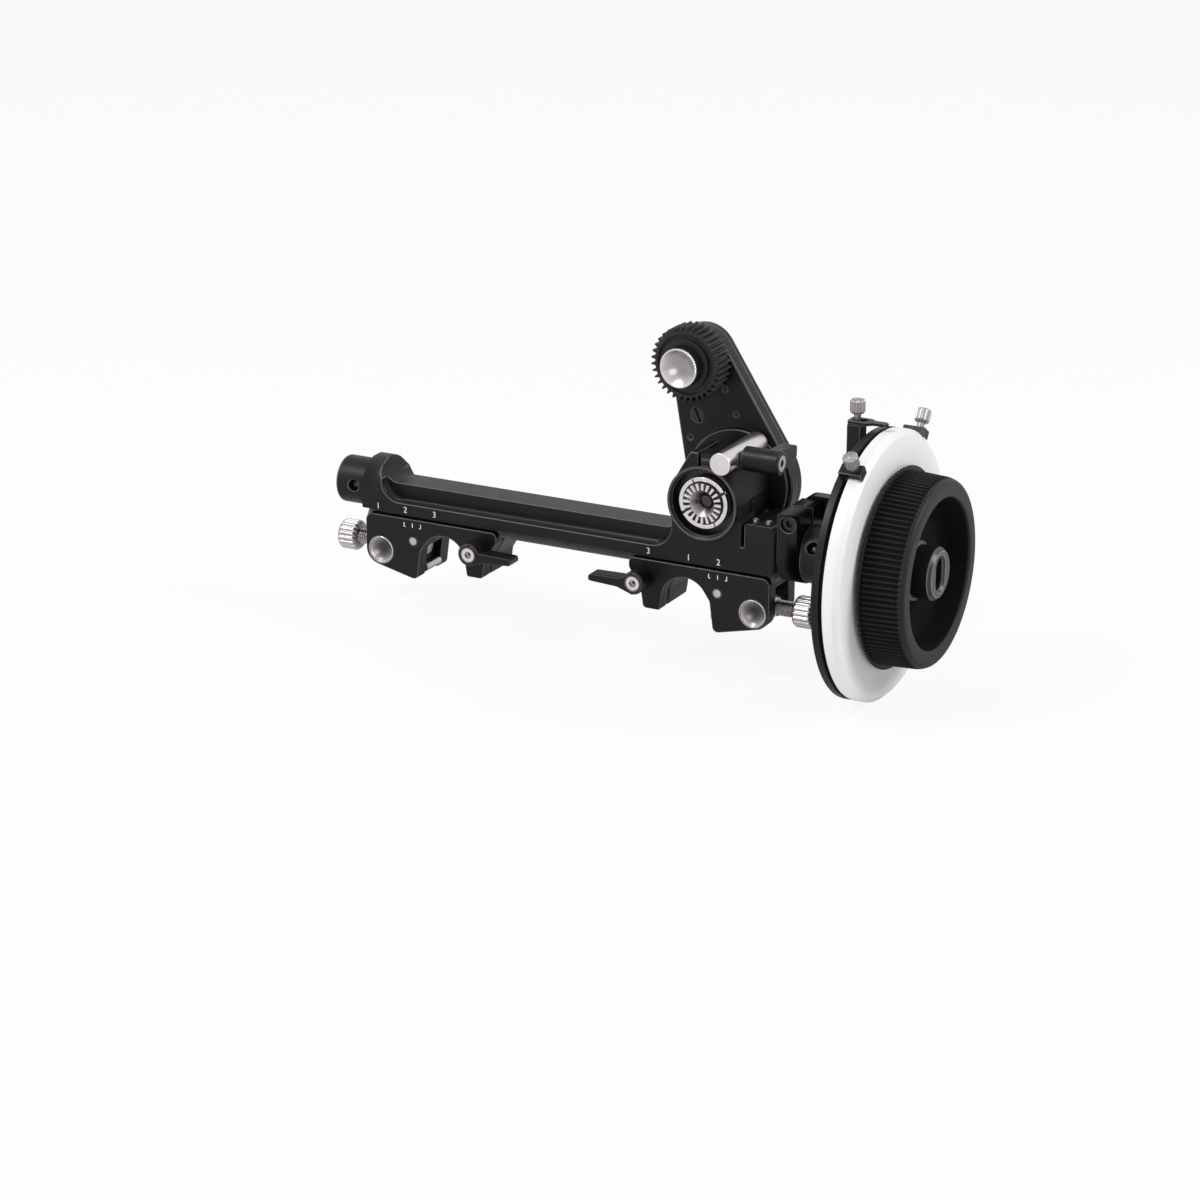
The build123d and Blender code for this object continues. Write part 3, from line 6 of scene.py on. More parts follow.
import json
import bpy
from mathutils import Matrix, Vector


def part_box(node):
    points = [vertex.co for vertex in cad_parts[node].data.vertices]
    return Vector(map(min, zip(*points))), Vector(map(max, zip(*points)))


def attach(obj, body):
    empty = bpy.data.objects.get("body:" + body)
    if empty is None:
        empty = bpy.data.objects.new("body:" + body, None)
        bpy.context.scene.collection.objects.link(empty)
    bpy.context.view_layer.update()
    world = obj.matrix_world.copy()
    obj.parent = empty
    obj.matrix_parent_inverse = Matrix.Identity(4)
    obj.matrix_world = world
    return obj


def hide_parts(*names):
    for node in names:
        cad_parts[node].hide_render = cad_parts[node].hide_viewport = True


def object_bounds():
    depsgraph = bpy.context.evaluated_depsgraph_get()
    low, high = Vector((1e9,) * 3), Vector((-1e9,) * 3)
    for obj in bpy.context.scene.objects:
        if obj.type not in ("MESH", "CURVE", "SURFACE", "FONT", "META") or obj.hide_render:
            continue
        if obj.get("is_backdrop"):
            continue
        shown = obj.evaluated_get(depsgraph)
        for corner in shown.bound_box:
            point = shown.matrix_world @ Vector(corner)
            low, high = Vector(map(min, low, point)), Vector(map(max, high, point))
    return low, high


bl_info = {
    "name": "Follow focus unit",
    "version": (1, 0, 0),
    "blender": (4, 5, 0),
    "location": "View3D > Sidebar > Follow Focus",
    "description": "Flutes, knurls, threads, marks, soft edges and finishes of a follow focus unit",
    "category": "Add Mesh",
}

from math import cos, pi, radians, sin, tau

import bmesh
import bpy
from bpy.props import FloatProperty, FloatVectorProperty, IntProperty, PointerProperty
from mathutils import Matrix, Vector
from mathutils.geometry import intersect_point_line

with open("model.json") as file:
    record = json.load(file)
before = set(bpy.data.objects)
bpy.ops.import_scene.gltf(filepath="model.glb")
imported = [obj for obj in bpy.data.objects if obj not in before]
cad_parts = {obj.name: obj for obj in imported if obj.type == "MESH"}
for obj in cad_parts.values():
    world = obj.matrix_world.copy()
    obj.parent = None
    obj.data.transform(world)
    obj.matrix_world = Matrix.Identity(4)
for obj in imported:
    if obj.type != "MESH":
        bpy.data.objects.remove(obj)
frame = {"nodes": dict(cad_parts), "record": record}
NODES = frame["nodes"]
BODY_OF = {node: body for body, nodes in frame["record"]["behaviour"]["bodies"].items() for node in nodes}
MM = 0.001
X, Y, Z = Vector((1, 0, 0)), Vector((0, 1, 0)), Vector((0, 0, 1))
SIDES = {"left": -1, "right": 1}


def middle(node):
    """Centre of a node's box."""
    low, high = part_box(node)
    return (low + high) / 2


def reach(node, axis):
    """Lowest and highest coordinate of a node along an axis number."""
    low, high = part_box(node)
    return low[axis], high[axis]


def radius_of(node):
    """Half a turned node's height."""
    low, high = reach(node, 2)
    return (high - low) / 2


def about_y(node):
    """Front point, length and radius of a node turned about Y."""
    centre, (low, high) = middle(node), reach(node, 1)
    return (centre.x, low, centre.z), high - low, radius_of(node)


DRIVE = Vector((0, 0, middle("marking_ring").z))
# End face of the beam, and a place along X that no piece reaches
BEAM_END, FAR_AWAY = 88.2 * MM, 1.0
COUPLING_TEETH = 20
# Width of the rounded edges in millimetres
SOFT_EDGES = {
    "gearbox_flange": 0.5, "index_bracket": 0.35, "index_arm": 0.4, "index_pointer": 0.3, "arm_body": 0.45,
    "arm_cover": 0.45, "stop_a_block": 0.35, "stop_b_block": 0.35, "collar_lever": 0.5,
    "left_clamp_body": 0.5, "left_latch_jaw": 0.4, "left_kip_lever": 0.5,
    "right_clamp_body": 0.5, "right_latch_jaw": 0.4, "right_kip_lever": 0.5,
}
# Printed marks in millimetres: X of each number, left and right, and strokes of (x0, x1, z0, z1)
NUMBER_PLACES = {"1": (-79.7, 54.6), "2": (-67.5, 66.9), "3": (-54.5, 37.9)}
INDEX_STROKES = (
    (-0.17, 0.17, -1.8, 0), (-3.9, -3.56, -1.5, 0), (-3.9, -3.0, -1.8, -1.46), (3.56, 3.9, -1.5, 0),
    (3.0, 3.9, -1.8, -1.46),
)


# ------ sizes and colours a user would change
def length_prop(label, description, default):
    """Property of a length."""
    return FloatProperty(name=label, description=description, default=default, unit="LENGTH")


def count_prop(label, description, default, least):
    """Property of a number of flutes."""
    return IntProperty(name=label, description=description, default=default, min=least)


def colour_prop(label, description, default):
    """Property of a linear colour."""
    return FloatVectorProperty(name=label, description=description, subtype="COLOR", size=3, default=default)


class WheelSizes(bpy.types.PropertyGroup):
    """Handwheel and the parts that turn with it."""

    flutes: count_prop("Flutes", "Grip flutes round the handwheel", 105, 24)
    flute_depth: length_prop("Flute depth", "Depth of a grip flute", 0.85 * MM)
    flute_share: FloatProperty(name="Flute share", description="Half a flute's width as a share of the pitch",
                               default=0.43, min=0.05, max=0.5)
    flute_end: length_prop("Smooth rim", "Length of the smooth rim in front of the flutes", 2.4 * MM)
    mouth_radius: length_prop("Mouth radius", "Radius of the dish at its mouth", 28.3 * MM)
    flange: length_prop("Flange", "Width of the thin flange behind the flutes", 0.6 * MM)
    body_radius: length_prop("Grip radius", "Outer radius of the grip at the flange", 35.9 * MM)
    rim_radius: length_prop("Rim radius", "Outer radius at the front shoulder", 35.2 * MM)
    dish_depth: length_prop("Dish depth", "Depth of the dish", 10.4 * MM)


class KnurlSizes(bpy.types.PropertyGroup):
    """Grip of the small screws and nuts."""

    knob_flutes: count_prop("Knob flutes", "Flutes round a clamp knob", 18, 6)
    screw_flutes: count_prop("Screw flutes", "Flutes round a small screw", 14, 6)
    nut_flutes: count_prop("Nut flutes", "Knurls round the gear nut", 48, 12)
    pitch: length_prop("Thread pitch", "Pitch of the clamp screws", 1.0 * MM)


class FinishColours(bpy.types.PropertyGroup):
    """Colours of the finishes, linear."""

    black: colour_prop("Black metal", "Anodised black", (0.0058, 0.0054, 0.0062))
    rubber: colour_prop("Wheel black", "Black of the handwheel", (0.0065, 0.0060, 0.0065))
    acetal: colour_prop("Gear black", "Black of the lens gear", (0.0110, 0.0105, 0.0115))
    steel: colour_prop("Bright steel", "Turned bright metal", (0.66, 0.62, 0.635))
    white: colour_prop("Ring white", "White of the marking ring", (0.86, 0.84, 0.86))
    print_white: colour_prop("Print white", "Printed marks", (0.80, 0.80, 0.80))


class StageSizes(bpy.types.PropertyGroup):
    """Camera and lamps."""

    azimuth: FloatProperty(name="Azimuth", description="Camera angle about Z from -Y", subtype="ANGLE",
                           default=radians(27.9))
    elevation: FloatProperty(name="Elevation", description="Camera angle above the floor", subtype="ANGLE",
                             default=radians(19.42))
    lens: FloatProperty(name="Lens", description="Focal length on a 36 mm sensor", default=100.6, min=10)
    eye: FloatVectorProperty(name="Eye", description="Camera place", subtype="TRANSLATION", size=3,
                             default=(0.5757, -1.0676, 0.4164))
    world: FloatProperty(name="World", description="Strength of the surrounding light", default=0.38, min=0)


GROUPS = {"ff_wheel": WheelSizes, "ff_knurl": KnurlSizes, "ff_colour": FinishColours, "ff_stage": StageSizes}


# ------ node trees written as expressions
def math_node(operation):
    """Method of a Flow that adds one Math node."""
    return lambda flow, *others: flow.math(operation, *others)


class Flow:
    """A socket in a node tree. An operator on it adds the Math node for it."""

    def __init__(self, tree, socket):
        self.tree, self.socket = tree, socket

    def math(self, operation, *others):
        """One Math node on this socket and the others."""
        inputs = dict(enumerate((self, *others)))
        return self.tree.add("ShaderNodeMath", inputs, operation=operation)

    def __rsub__(self, other):
        return (self * -1) + other

    def __rtruediv__(self, other):
        return (self ** -1) * other

    __add__ = __radd__ = math_node("ADD")
    __mul__ = __rmul__ = math_node("MULTIPLY")
    __sub__ = math_node("SUBTRACT")
    __truediv__ = math_node("DIVIDE")
    __pow__ = math_node("POWER")
    __gt__ = math_node("GREATER_THAN")
    __lt__ = math_node("LESS_THAN")
    __abs__ = math_node("ABSOLUTE")


class Tree:
    """A node tree and the methods that add nodes to it and join them."""

    def __init__(self, tree):
        self.tree = tree

    def add(self, kind, inputs=(), out=0, **settings):
        """Adds a node, sets it up, fills or links its inputs, and gives one output as a Flow."""
        node = self.tree.nodes.new(kind)
        for name, value in settings.items():
            setattr(node, name, value)
        for name, value in dict(inputs).items():
            if isinstance(value, Flow):
                self.tree.links.new(value.socket, node.inputs[name])
            else:
                node.inputs[name].default_value = value
        return Flow(self, node.outputs[out]) if node.outputs else node

    def split(self, vector):
        """The three parts of a vector."""
        node = self.add("ShaderNodeSeparateXYZ", {0: vector}).socket.node
        return [Flow(self, socket) for socket in node.outputs]

    def join(self, flow, node):
        """Links a socket to a node's first input."""
        self.tree.links.new(flow.socket, node.inputs[0])


# ------ finishes
def new_material(name):
    """Empty material with its tree, its output and Object coordinates."""
    material = bpy.data.materials.new(name)
    material.use_nodes = True
    material.node_tree.nodes.clear()
    tree = Tree(material.node_tree)
    out = tree.add("ShaderNodeOutputMaterial")
    where = tree.add("ShaderNodeTexCoord", out="Object")
    return material, tree, out, where


def noise(tree, where, scale, detail=3.0, kind="3D"):
    """Noise of that many cells to the metre, 0 to 1."""
    place = {"Vector": where} if kind == "3D" else {"W": where}
    return tree.add("ShaderNodeTexNoise", {**place, "Scale": scale, "Detail": detail, "Roughness": 0.55},
                    noise_dimensions=kind)


def stretched(tree, factor, low, high):
    """Grey that rises from 0 to 1 between two values of a factor."""
    ramp = tree.add("ShaderNodeValToRGB", {0: factor})
    for element, place in zip(ramp.socket.node.color_ramp.elements, (low, high)):
        element.position = place
    return ramp


def tinted(tree, dark, light, factor):
    """Colour between two, each plain or from the tree, by a factor."""
    ends = {slot: end if isinstance(end, Flow) else (*end, 1) for slot, end in ((6, dark), (7, light))}
    return tree.add("ShaderNodeMix", {0: factor, **ends}, 2, data_type="RGBA")


def scaled(colour, amount):
    """A colour made lighter or darker."""
    return tuple(min(channel * amount, 1) for channel in colour)


def surface(tree, out, colour, roughness, metallic=0.0, height=None, bump=0.0, **fixed):
    """Principled surface with an optional bump, joined to the output."""
    inputs = {"Base Color": colour, "Roughness": roughness, "Metallic": metallic}
    if height is not None:
        raised = {"Height": height, "Distance": bump, "Strength": 1.0}
        inputs["Normal"] = tree.add("ShaderNodeBump", raised)
    shader = tree.add("ShaderNodeBsdfPrincipled", inputs)
    for name, value in fixed.items():
        shader.socket.node.inputs[name.replace("_", " ")].default_value = value
    tree.join(shader, out)
    return shader


def mottled(name, dark, light, noises, roughness, metallic=0.0, bump=0.006 * MM, **fixed):
    """Finish between two colours by noises of (scale, detail, share of the tone, share of the roughness).

    The first noise is also the bump.
    """
    material, tree, out, where = new_material(name)
    layers = [noise(tree, where, scale, detail) for scale, detail, _, _ in noises]
    tone = sum(layer * share for layer, (_, _, share, _) in zip(layers, noises))
    rough = sum(layer * share for layer, (_, _, _, share) in zip(layers, noises)) + roughness
    shade, height = tinted(tree, dark, light, tone), layers[0] if bump else None
    surface(tree, out, shade, rough, metallic, height, bump, **fixed)
    return material


def anodised_black(colour, name="anodised_black", gloss=0.0):
    """Anodised aluminium: satin black with a fine even grain, and a painted highlight on its rounded edges.
    """
    material, tree, out, where = new_material(name)
    grain = noise(tree, where, 5200, 2.0)
    cloud = noise(tree, where, 55, 4.0)
    rubbed = stretched(tree, noise(tree, where, 190, 6.0), 0.52, 0.74)
    shade = tinted(tree, scaled(colour, 0.75), scaled(colour, 1.45), cloud * 0.6 + grain * 0.4)
    # Painted highlight: faces marked as rounded edges are tinted up to twenty times lighter than the black.
    painted_edge_highlight = tree.add("ShaderNodeAttribute", out="Fac", attribute_name="edge") * (cloud * 0.5 + 0.55)
    shade = tinted(tree, shade, scaled(colour, 20.0), painted_edge_highlight)
    rough = cloud * 0.10 + grain * 0.05 - rubbed * 0.05 - painted_edge_highlight * 0.08 + (0.34 - gloss * 0.1)
    surface(tree, out, shade, rough, 0.0, grain, 0.012 * MM, Specular_IOR_Level=0.2 + gloss * 0.6)
    return material


def about_axis(tree, where, centre, axis):
    """Distance from an axis through a centre, and place along it."""
    moved = tree.add("ShaderNodeVectorMath", {0: where, 1: tuple(centre)}, operation="SUBTRACT")
    along = tree.add("ShaderNodeVectorMath", {0: moved, 1: tuple(axis)}, 1, operation="DOT_PRODUCT")
    length = tree.add("ShaderNodeVectorMath", {0: moved}, 1, operation="LENGTH")
    radius = (length * length - along * along + 1e-9) ** 0.5
    return radius, along


def turned_metal(name, colour, centre, axis, roughness, cup=0.0, cup_shade=0.3):
    """Bright turned metal with fine tool marks about its axis, and painted shade that darkens it towards the
    axis within a cup radius.
    """
    material, tree, out, where = new_material(name)
    radius, along = about_axis(tree, where, centre, axis)
    marks = noise(tree, radius + along * 0.83, 5200, 3.0, "1D")
    cloud = noise(tree, where, 240, 3.0)
    shade = tinted(tree, scaled(colour, 0.88), scaled(colour, 1.10), marks * 0.7 + cloud * 0.3)
    if cup:
        # Painted shade: inside the cup radius the colour falls to its darkest share at the axis.
        depth = (radius / cup).math("MINIMUM", 1.0) ** 3.0
        shade = tinted(tree, scaled(colour, cup_shade), shade, depth)
    surface(tree, out, shade, marks * 0.10 + cloud * 0.06 + roughness - 0.06, 1.0, marks, 0.006 * MM)
    return material


def wheel_black(colour, sizes):
    """Matt black of the handwheel with a fine grain and a little dust, with painted shade in its dish and its
    flute valleys from a dull surface that hardly reflects.
    """
    material, tree, out, where = new_material("wheel_black")
    grain = noise(tree, where, 6500, 3.0)
    cloud = noise(tree, where, 90, 5.0)
    specks = stretched(tree, noise(tree, where, 1500, 2.0), 0.70, 0.78)
    shade = tinted(tree, colour, scaled(colour, 1.9), cloud * 0.6 + specks * 0.5)
    satin = surface(tree, out, shade, cloud * 0.10 + grain * 0.06 + 0.42, 0.0, grain, 0.016 * MM,
                    Specular_IOR_Level=0.24)
    # Painted shade: a dull surface that hardly reflects, for the dish and the flute valleys.
    dull = surface(tree, out, shade, grain * 0.1 + 0.8, 0.0, Specular_IOR_Level=0.05)
    back, front = reach("handwheel", 0)
    radius, along = about_axis(tree, where, DRIVE, X)
    # Masks of the dish and of the flute valleys that take the painted shade.
    inside = (radius < sizes.mouth_radius - 0.2 * MM) * (along < front - 0.4 * MM)
    land = sizes.body_radius - (along - back) * ((sizes.body_radius - sizes.rim_radius) / (front - back))
    flute_shade = ((land - radius) / (0.6 * MM)).math("MINIMUM", 1.0).math("MAXIMUM", 0.0)
    flute_shade = flute_shade * (radius > sizes.mouth_radius + 2 * MM) * (along < front - sizes.flute_end)
    mixed = tree.add("ShaderNodeMixShader", {0: inside.math("MAXIMUM", flute_shade), 1: satin, 2: dull})
    tree.join(mixed, out)
    return material


# ------ turned shapes
def softened(corners, steps):
    """Closed profile through corners (x, r), or (x, r, rounding) where one is rounded."""
    points = [Vector(corner[:2]) for corner in corners]
    result = []
    for i, (point, corner) in enumerate(zip(points, corners)):
        if len(corner) == 2:
            result.append(point)
            continue
        back, ahead = points[i - 1] - point, points[(i + 1) % len(points)] - point
        cut = min(corner[2], back.length * 0.49, ahead.length * 0.49)
        start, end = point + back.normalized() * cut, point + ahead.normalized() * cut
        for step in range(steps + 1):
            t = step / steps
            result.append(start * (1 - t) ** 2 + point * 2 * t * (1 - t) + end * t ** 2)
    return result


def divided(profile, first, last, step):
    """Profile with its outer stretches between two places along X cut into short steps."""
    outer = max(point.y for point in profile) * 0.8
    result = []
    for i, point in enumerate(profile):
        result.append(point)
        after = profile[(i + 1) % len(profile)]
        low, high = sorted((point.x, after.x))
        if min(point.y, after.y) > outer and high > first and low < last and high - low > step:
            pieces = int((high - low) / step) + 1
            result += [point.lerp(after, k / pieces) for k in range(1, pieces)]
    return result


def lathe(name, profile, segments):
    """Object of a closed (x, r) profile turned about +X."""
    build = bmesh.new()
    turns = [tau * k / segments for k in range(segments)]
    rings = []
    for point in profile:
        around = turns[:1] if point.y < 1e-7 else turns
        spots = [(point.x, point.y * cos(turn), point.y * sin(turn)) for turn in around]
        rings.append([build.verts.new(spot) for spot in spots])
    for ring, after in zip(rings, rings[1:] + rings[:1]):
        if len(ring) == len(after) == 1:
            continue
        for k in range(segments):
            corners = [ring[k % len(ring)], ring[(k + 1) % len(ring)],
                       after[(k + 1) % len(after)], after[k % len(after)]]
            build.faces.new(list(dict.fromkeys(corners)))
    return closed(name, build)


def closed(name, build):
    """Object of a built shape, its faces turned outward."""
    bmesh.ops.recalc_face_normals(build, faces=build.faces)
    mesh = bpy.data.meshes.new(name)
    build.to_mesh(mesh)
    build.free()
    return linked(name, mesh)


def linked(name, data):
    """Object of a mesh, a lamp or a camera in the scene."""
    piece = bpy.data.objects.new(name, data)
    bpy.context.scene.collection.objects.link(piece)
    return piece


def placed(piece, origin, along=X):
    """Moves a piece drawn about +X to its axis, inside its mesh."""
    turn = X.rotation_difference(Vector(along)).to_matrix().to_4x4()
    piece.data.transform(Matrix.Translation(Vector(origin)) @ turn)
    return piece


def shaded(piece, angle=35):
    """Smooth shading with edges sharper than an angle kept sharp."""
    piece.data.shade_smooth()
    piece.data.set_sharp_from_angle(angle=radians(angle))
    return piece


def turned(name, corners, segments, angle=35, steps=3, cuts=None):
    """Shaded lathe of softened corners. Cuts (from, to, step) divide its outside into short steps."""
    profile = softened(corners, steps)
    if cuts:
        profile = divided(profile, *cuts)
    return shaded(lathe(name, profile, segments), angle)


def baked(piece):
    """Turns the evaluated result of a piece's modifiers into its own mesh."""
    graph = bpy.context.evaluated_depsgraph_get()
    mesh = bpy.data.meshes.new_from_object(piece.evaluated_get(graph), depsgraph=graph)
    piece.modifiers.clear()
    piece.data = mesh
    return piece


def fitted(piece, node, finish=None):
    """Gives a finished piece its finish and its body, and hides the CAD node that it stands for."""
    if finish:
        dress(piece, finish)
    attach(piece, BODY_OF[node])
    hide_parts(node)


def dress(piece, finish):
    """Gives a piece one finish."""
    piece.data.materials.clear()
    piece.data.materials.append(FINISH[finish])


# ------ geometry node trees
def new_group(name, sockets):
    """Geometry Nodes tree with inputs of (name, kind, default), and a Flow for each input."""
    group = bpy.data.node_groups.new(name, "GeometryNodeTree")
    group.interface.new_socket("Geometry", in_out="OUTPUT", socket_type="NodeSocketGeometry")
    for label, kind, default in (*sockets, ("Material", "Material", None)):
        socket = group.interface.new_socket(label, in_out="INPUT", socket_type="NodeSocket" + kind)
        if default is not None:
            socket.default_value = default
    tree = Tree(group)
    source = tree.add("NodeGroupInput").socket.node
    return tree, {socket.name: Flow(tree, socket) for socket in source.outputs if socket.name}


def end_group(tree, of, geometry):
    """Realizes what the tree made, sets its material and joins it to the output."""
    real = tree.add("GeometryNodeRealizeInstances", {"Geometry": geometry})
    dressed = tree.add("GeometryNodeSetMaterial", {"Geometry": real, "Material": of["Material"]})
    tree.join(dressed, tree.tree.nodes.new("NodeGroupOutput"))
    return tree.tree


def end_shifted(tree, of, x, y, z):
    """Ends a tree that moves the points of its geometry."""
    shift = tree.add("ShaderNodeCombineXYZ", {"X": x, "Y": y, "Z": z})
    moved = tree.add("GeometryNodeSetPosition", {"Geometry": of["Geometry"], "Offset": shift})
    return end_group(tree, of, moved)


def end_copies(tree, of, inputs):
    """Ends a tree that puts copies of its template at points."""
    shape = tree.add("GeometryNodeObjectInfo", {"Object": of["Template"]}, "Geometry")
    return end_group(tree, of, tree.add("GeometryNodeInstanceOnPoints", {"Instance": shape, **inputs}))


def about_x(tree):
    """Coordinates of a point, its distance from the X axis and its angle about it."""
    x, y, z = tree.split(tree.add("GeometryNodeInputPosition"))
    return x, y, z, (y * y + z * z + 1e-14) ** 0.5, z.math("ARCTAN2", y)


def flute_group():
    """Cuts grooves into a piece turned about +X: straight flutes, or a thread where Turns isn't 0."""
    tree, of = new_group("Flutes", (
        ("Geometry", "Geometry", None), ("Count", "Float", 18.0), ("Turns", "Float", 0.0),
        ("Depth", "Float", 0.3 * MM), ("Half Width", "Float", 0.3), ("Roundness", "Float", 2.0),
        ("From", "Float", 0.0), ("To", "Float", 0.01), ("Run Out", "Float", 0.5 * MM),
        ("Outside", "Float", 0.001)))
    x, y, z, radius, angle = about_x(tree)
    phase = (angle / tau * of["Count"] + x * of["Turns"] + 0.5).math("FRACT")
    across = abs(phase - 0.5) / of["Half Width"]
    beyond = (of["From"] - x).math("MAXIMUM", x - of["To"]).math("MAXIMUM", 0.0) / of["Run Out"]
    near = (across * across + beyond * beyond) ** 0.5
    cut = (1 - near.math("MINIMUM", 1.0) ** of["Roundness"]) * (radius > of["Outside"])
    inward = cut * of["Depth"] * -1 / radius
    return end_shifted(tree, of, 0.0, y * inward, z * inward)


def notch_group():
    """Cuts narrow notches into the front of a ring turned about +X."""
    tree, of = new_group("Notches", (
        ("Geometry", "Geometry", None), ("Count", "Float", 4.0), ("First", "Float", 0.0),
        ("Half Width", "Float", 0.4 * MM), ("Depth", "Float", 1.0 * MM)))
    x, _, _, radius, angle = about_x(tree)
    step = tau / of["Count"]
    turn = ((angle + tau - of["First"]) / step + 0.5).math("FRACT") - 0.5
    inside = of["Half Width"] > abs(turn) * step * radius
    return end_shifted(tree, of, inside * (of["Depth"] > x) * (of["Depth"] - x), 0.0, 0.0)


def ring_group():
    """Copies a template round the X axis in equal steps."""
    tree, of = new_group("Ring of copies", (
        ("Template", "Object", None), ("Count", "Int", 20), ("Step", "Float", 0.3)))
    spin = tree.add("ShaderNodeCombineXYZ", {"X": tree.add("GeometryNodeInputIndex") * of["Step"]})
    dots = tree.add("GeometryNodePoints", {"Count": of["Count"]})
    return end_copies(tree, of, {"Points": dots, "Rotation": spin})


def places_group():
    """Copies a template to each point of a mesh, unturned."""
    tree, of = new_group("Copies at places", (("Geometry", "Geometry", None), ("Template", "Object", None)))
    return end_copies(tree, of, {"Points": of["Geometry"]})


def number_group():
    """Printed number that faces -Y, centred on its place."""
    tree, of = new_group("Printed number", (
        ("Text", "String", "1"), ("Size", "Float", 2.4 * MM), ("Place", "Vector", None)))
    lines = tree.add("GeometryNodeStringToCurves", {"String": of["Text"], "Size": 1.0},
                     align_x="CENTER", align_y="MIDDLE")
    curves = tree.add("GeometryNodeRealizeInstances", {0: lines})
    shape = tree.add("GeometryNodeFillCurve", {"Curve": curves})
    size = tree.add("ShaderNodeCombineXYZ", {"X": of["Size"], "Y": of["Size"], "Z": of["Size"]})
    turn = (pi / 2, 0.0, 0.0)
    upright = tree.add("GeometryNodeTransform",
                       {"Geometry": shape, "Translation": of["Place"], "Scale": size, "Rotation": turn})
    return end_group(tree, of, upright)


def run_group(piece, name, finish, **inputs):
    """Runs a tree on a piece with a finish and its inputs by name, and bakes the result."""
    group, inputs["material"] = TREES[name], FINISH[finish]
    modifier = piece.modifiers.new(group.name, "NODES")
    modifier.node_group = group
    for item in group.interface.items_tree:
        key = item.name.replace(" ", "_").lower()
        if item.in_out == "INPUT" and key in inputs:
            modifier[item.identifier] = inputs[key]
    return baked(piece)


def fluted(piece, finish, count, depth, first, last, outside, half_width, roundness, run_out=0.4 * MM,
           turns=0.0):
    """Cuts flutes or a thread in a turned piece."""
    return run_group(piece, "flutes", finish, count=float(count), depth=depth, to=last, outside=outside,
                     half_width=half_width, roundness=roundness, run_out=run_out, turns=turns,
                     **{"from": first})


def ring_of(name, template, finish, count):
    """Copies a template all round X, and removes the template."""
    piece = linked(name, bpy.data.meshes.new(name))
    run_group(piece, "ring", finish, template=template, count=count, step=tau / count)
    bpy.data.objects.remove(template)
    return piece


def copies_at(name, template, finish, places):
    """Copies a template to places, and removes the template."""
    mesh = bpy.data.meshes.new(name)
    mesh.from_pydata(places, [], [])
    piece = run_group(linked(name, mesh), "places", finish, template=template)
    bpy.data.objects.remove(template)
    return piece


TREES, FINISH = {}, {}


# ------ soft-edged copies of CAD nodes
def turn_at(corner, edge, after):
    """Angle by which a path turns where it goes from one edge to the next."""
    before, ahead = corner.co - edge.other_vert(corner).co, after.other_vert(corner).co - corner.co
    return before.angle(ahead)


def smooth_chains(sharp):
    """Runs of sharp edges that follow each other without a corner."""
    bend = radians(40)
    wanted, seen, chains = set(sharp), set(), []
    for first in sharp:
        if first in seen:
            continue
        seen.add(first)
        chain, waiting = [first], [first]
        while waiting:
            edge = waiting.pop()
            for corner in edge.verts:
                others = [other for other in corner.link_edges if other in wanted and other is not edge]
                if len(others) == 1 and others[0] not in seen and turn_at(corner, edge, others[0]) < bend:
                    seen.add(others[0])
                    chain.append(others[0])
                    waiting.append(others[0])
        chains.append(chain)
    return chains


def distance_to(point, edge):
    """Distance from a point to an edge."""
    start, end = edge.verts[0].co, edge.verts[1].co
    share = intersect_point_line(point, start, end)[1]
    return (start.lerp(end, min(max(share, 0), 1)) - point).length


def room_beside(edge, chain_of, width):
    """Widest bevel between the short edges at an edge's ends and the sharp edges across its faces."""
    room, share = width, 0.42
    for corner in edge.verts:
        for other in corner.link_edges:
            if chain_of.get(other) != chain_of[edge]:
                room = min(room, other.calc_length() * share)
    point = (edge.verts[0].co + edge.verts[1].co) / 2
    for face in edge.link_faces:
        for other in face.edges:
            across = other in chain_of and chain_of[other] != chain_of[edge]
            if across and not set(other.verts) & set(edge.verts):
                room = min(room, distance_to(point, other) * share)
    return room


def weigh_edges(build, width, sharp_at):
    """Bevel weight of each sharp edge, the same along a chain. Edges in the plane x = sharp_at stay sharp."""
    angle, least = radians(32), 0.1 * MM
    layer = build.edges.layers.float.new("bevel_weight_edge")
    sharp = [edge for edge in build.edges if len(edge.link_faces) == 2 and edge.calc_face_angle(0) > angle
             and max(abs(corner.co.x - sharp_at) for corner in edge.verts) > 0.15 * MM]
    chains = smooth_chains(sharp)
    chain_of = {edge: number for number, chain in enumerate(chains) for edge in chain}
    for chain in chains:
        room = min(room_beside(edge, chain_of, width) for edge in chain)
        for edge in chain:
            edge[layer] = room / width if room > least else 0


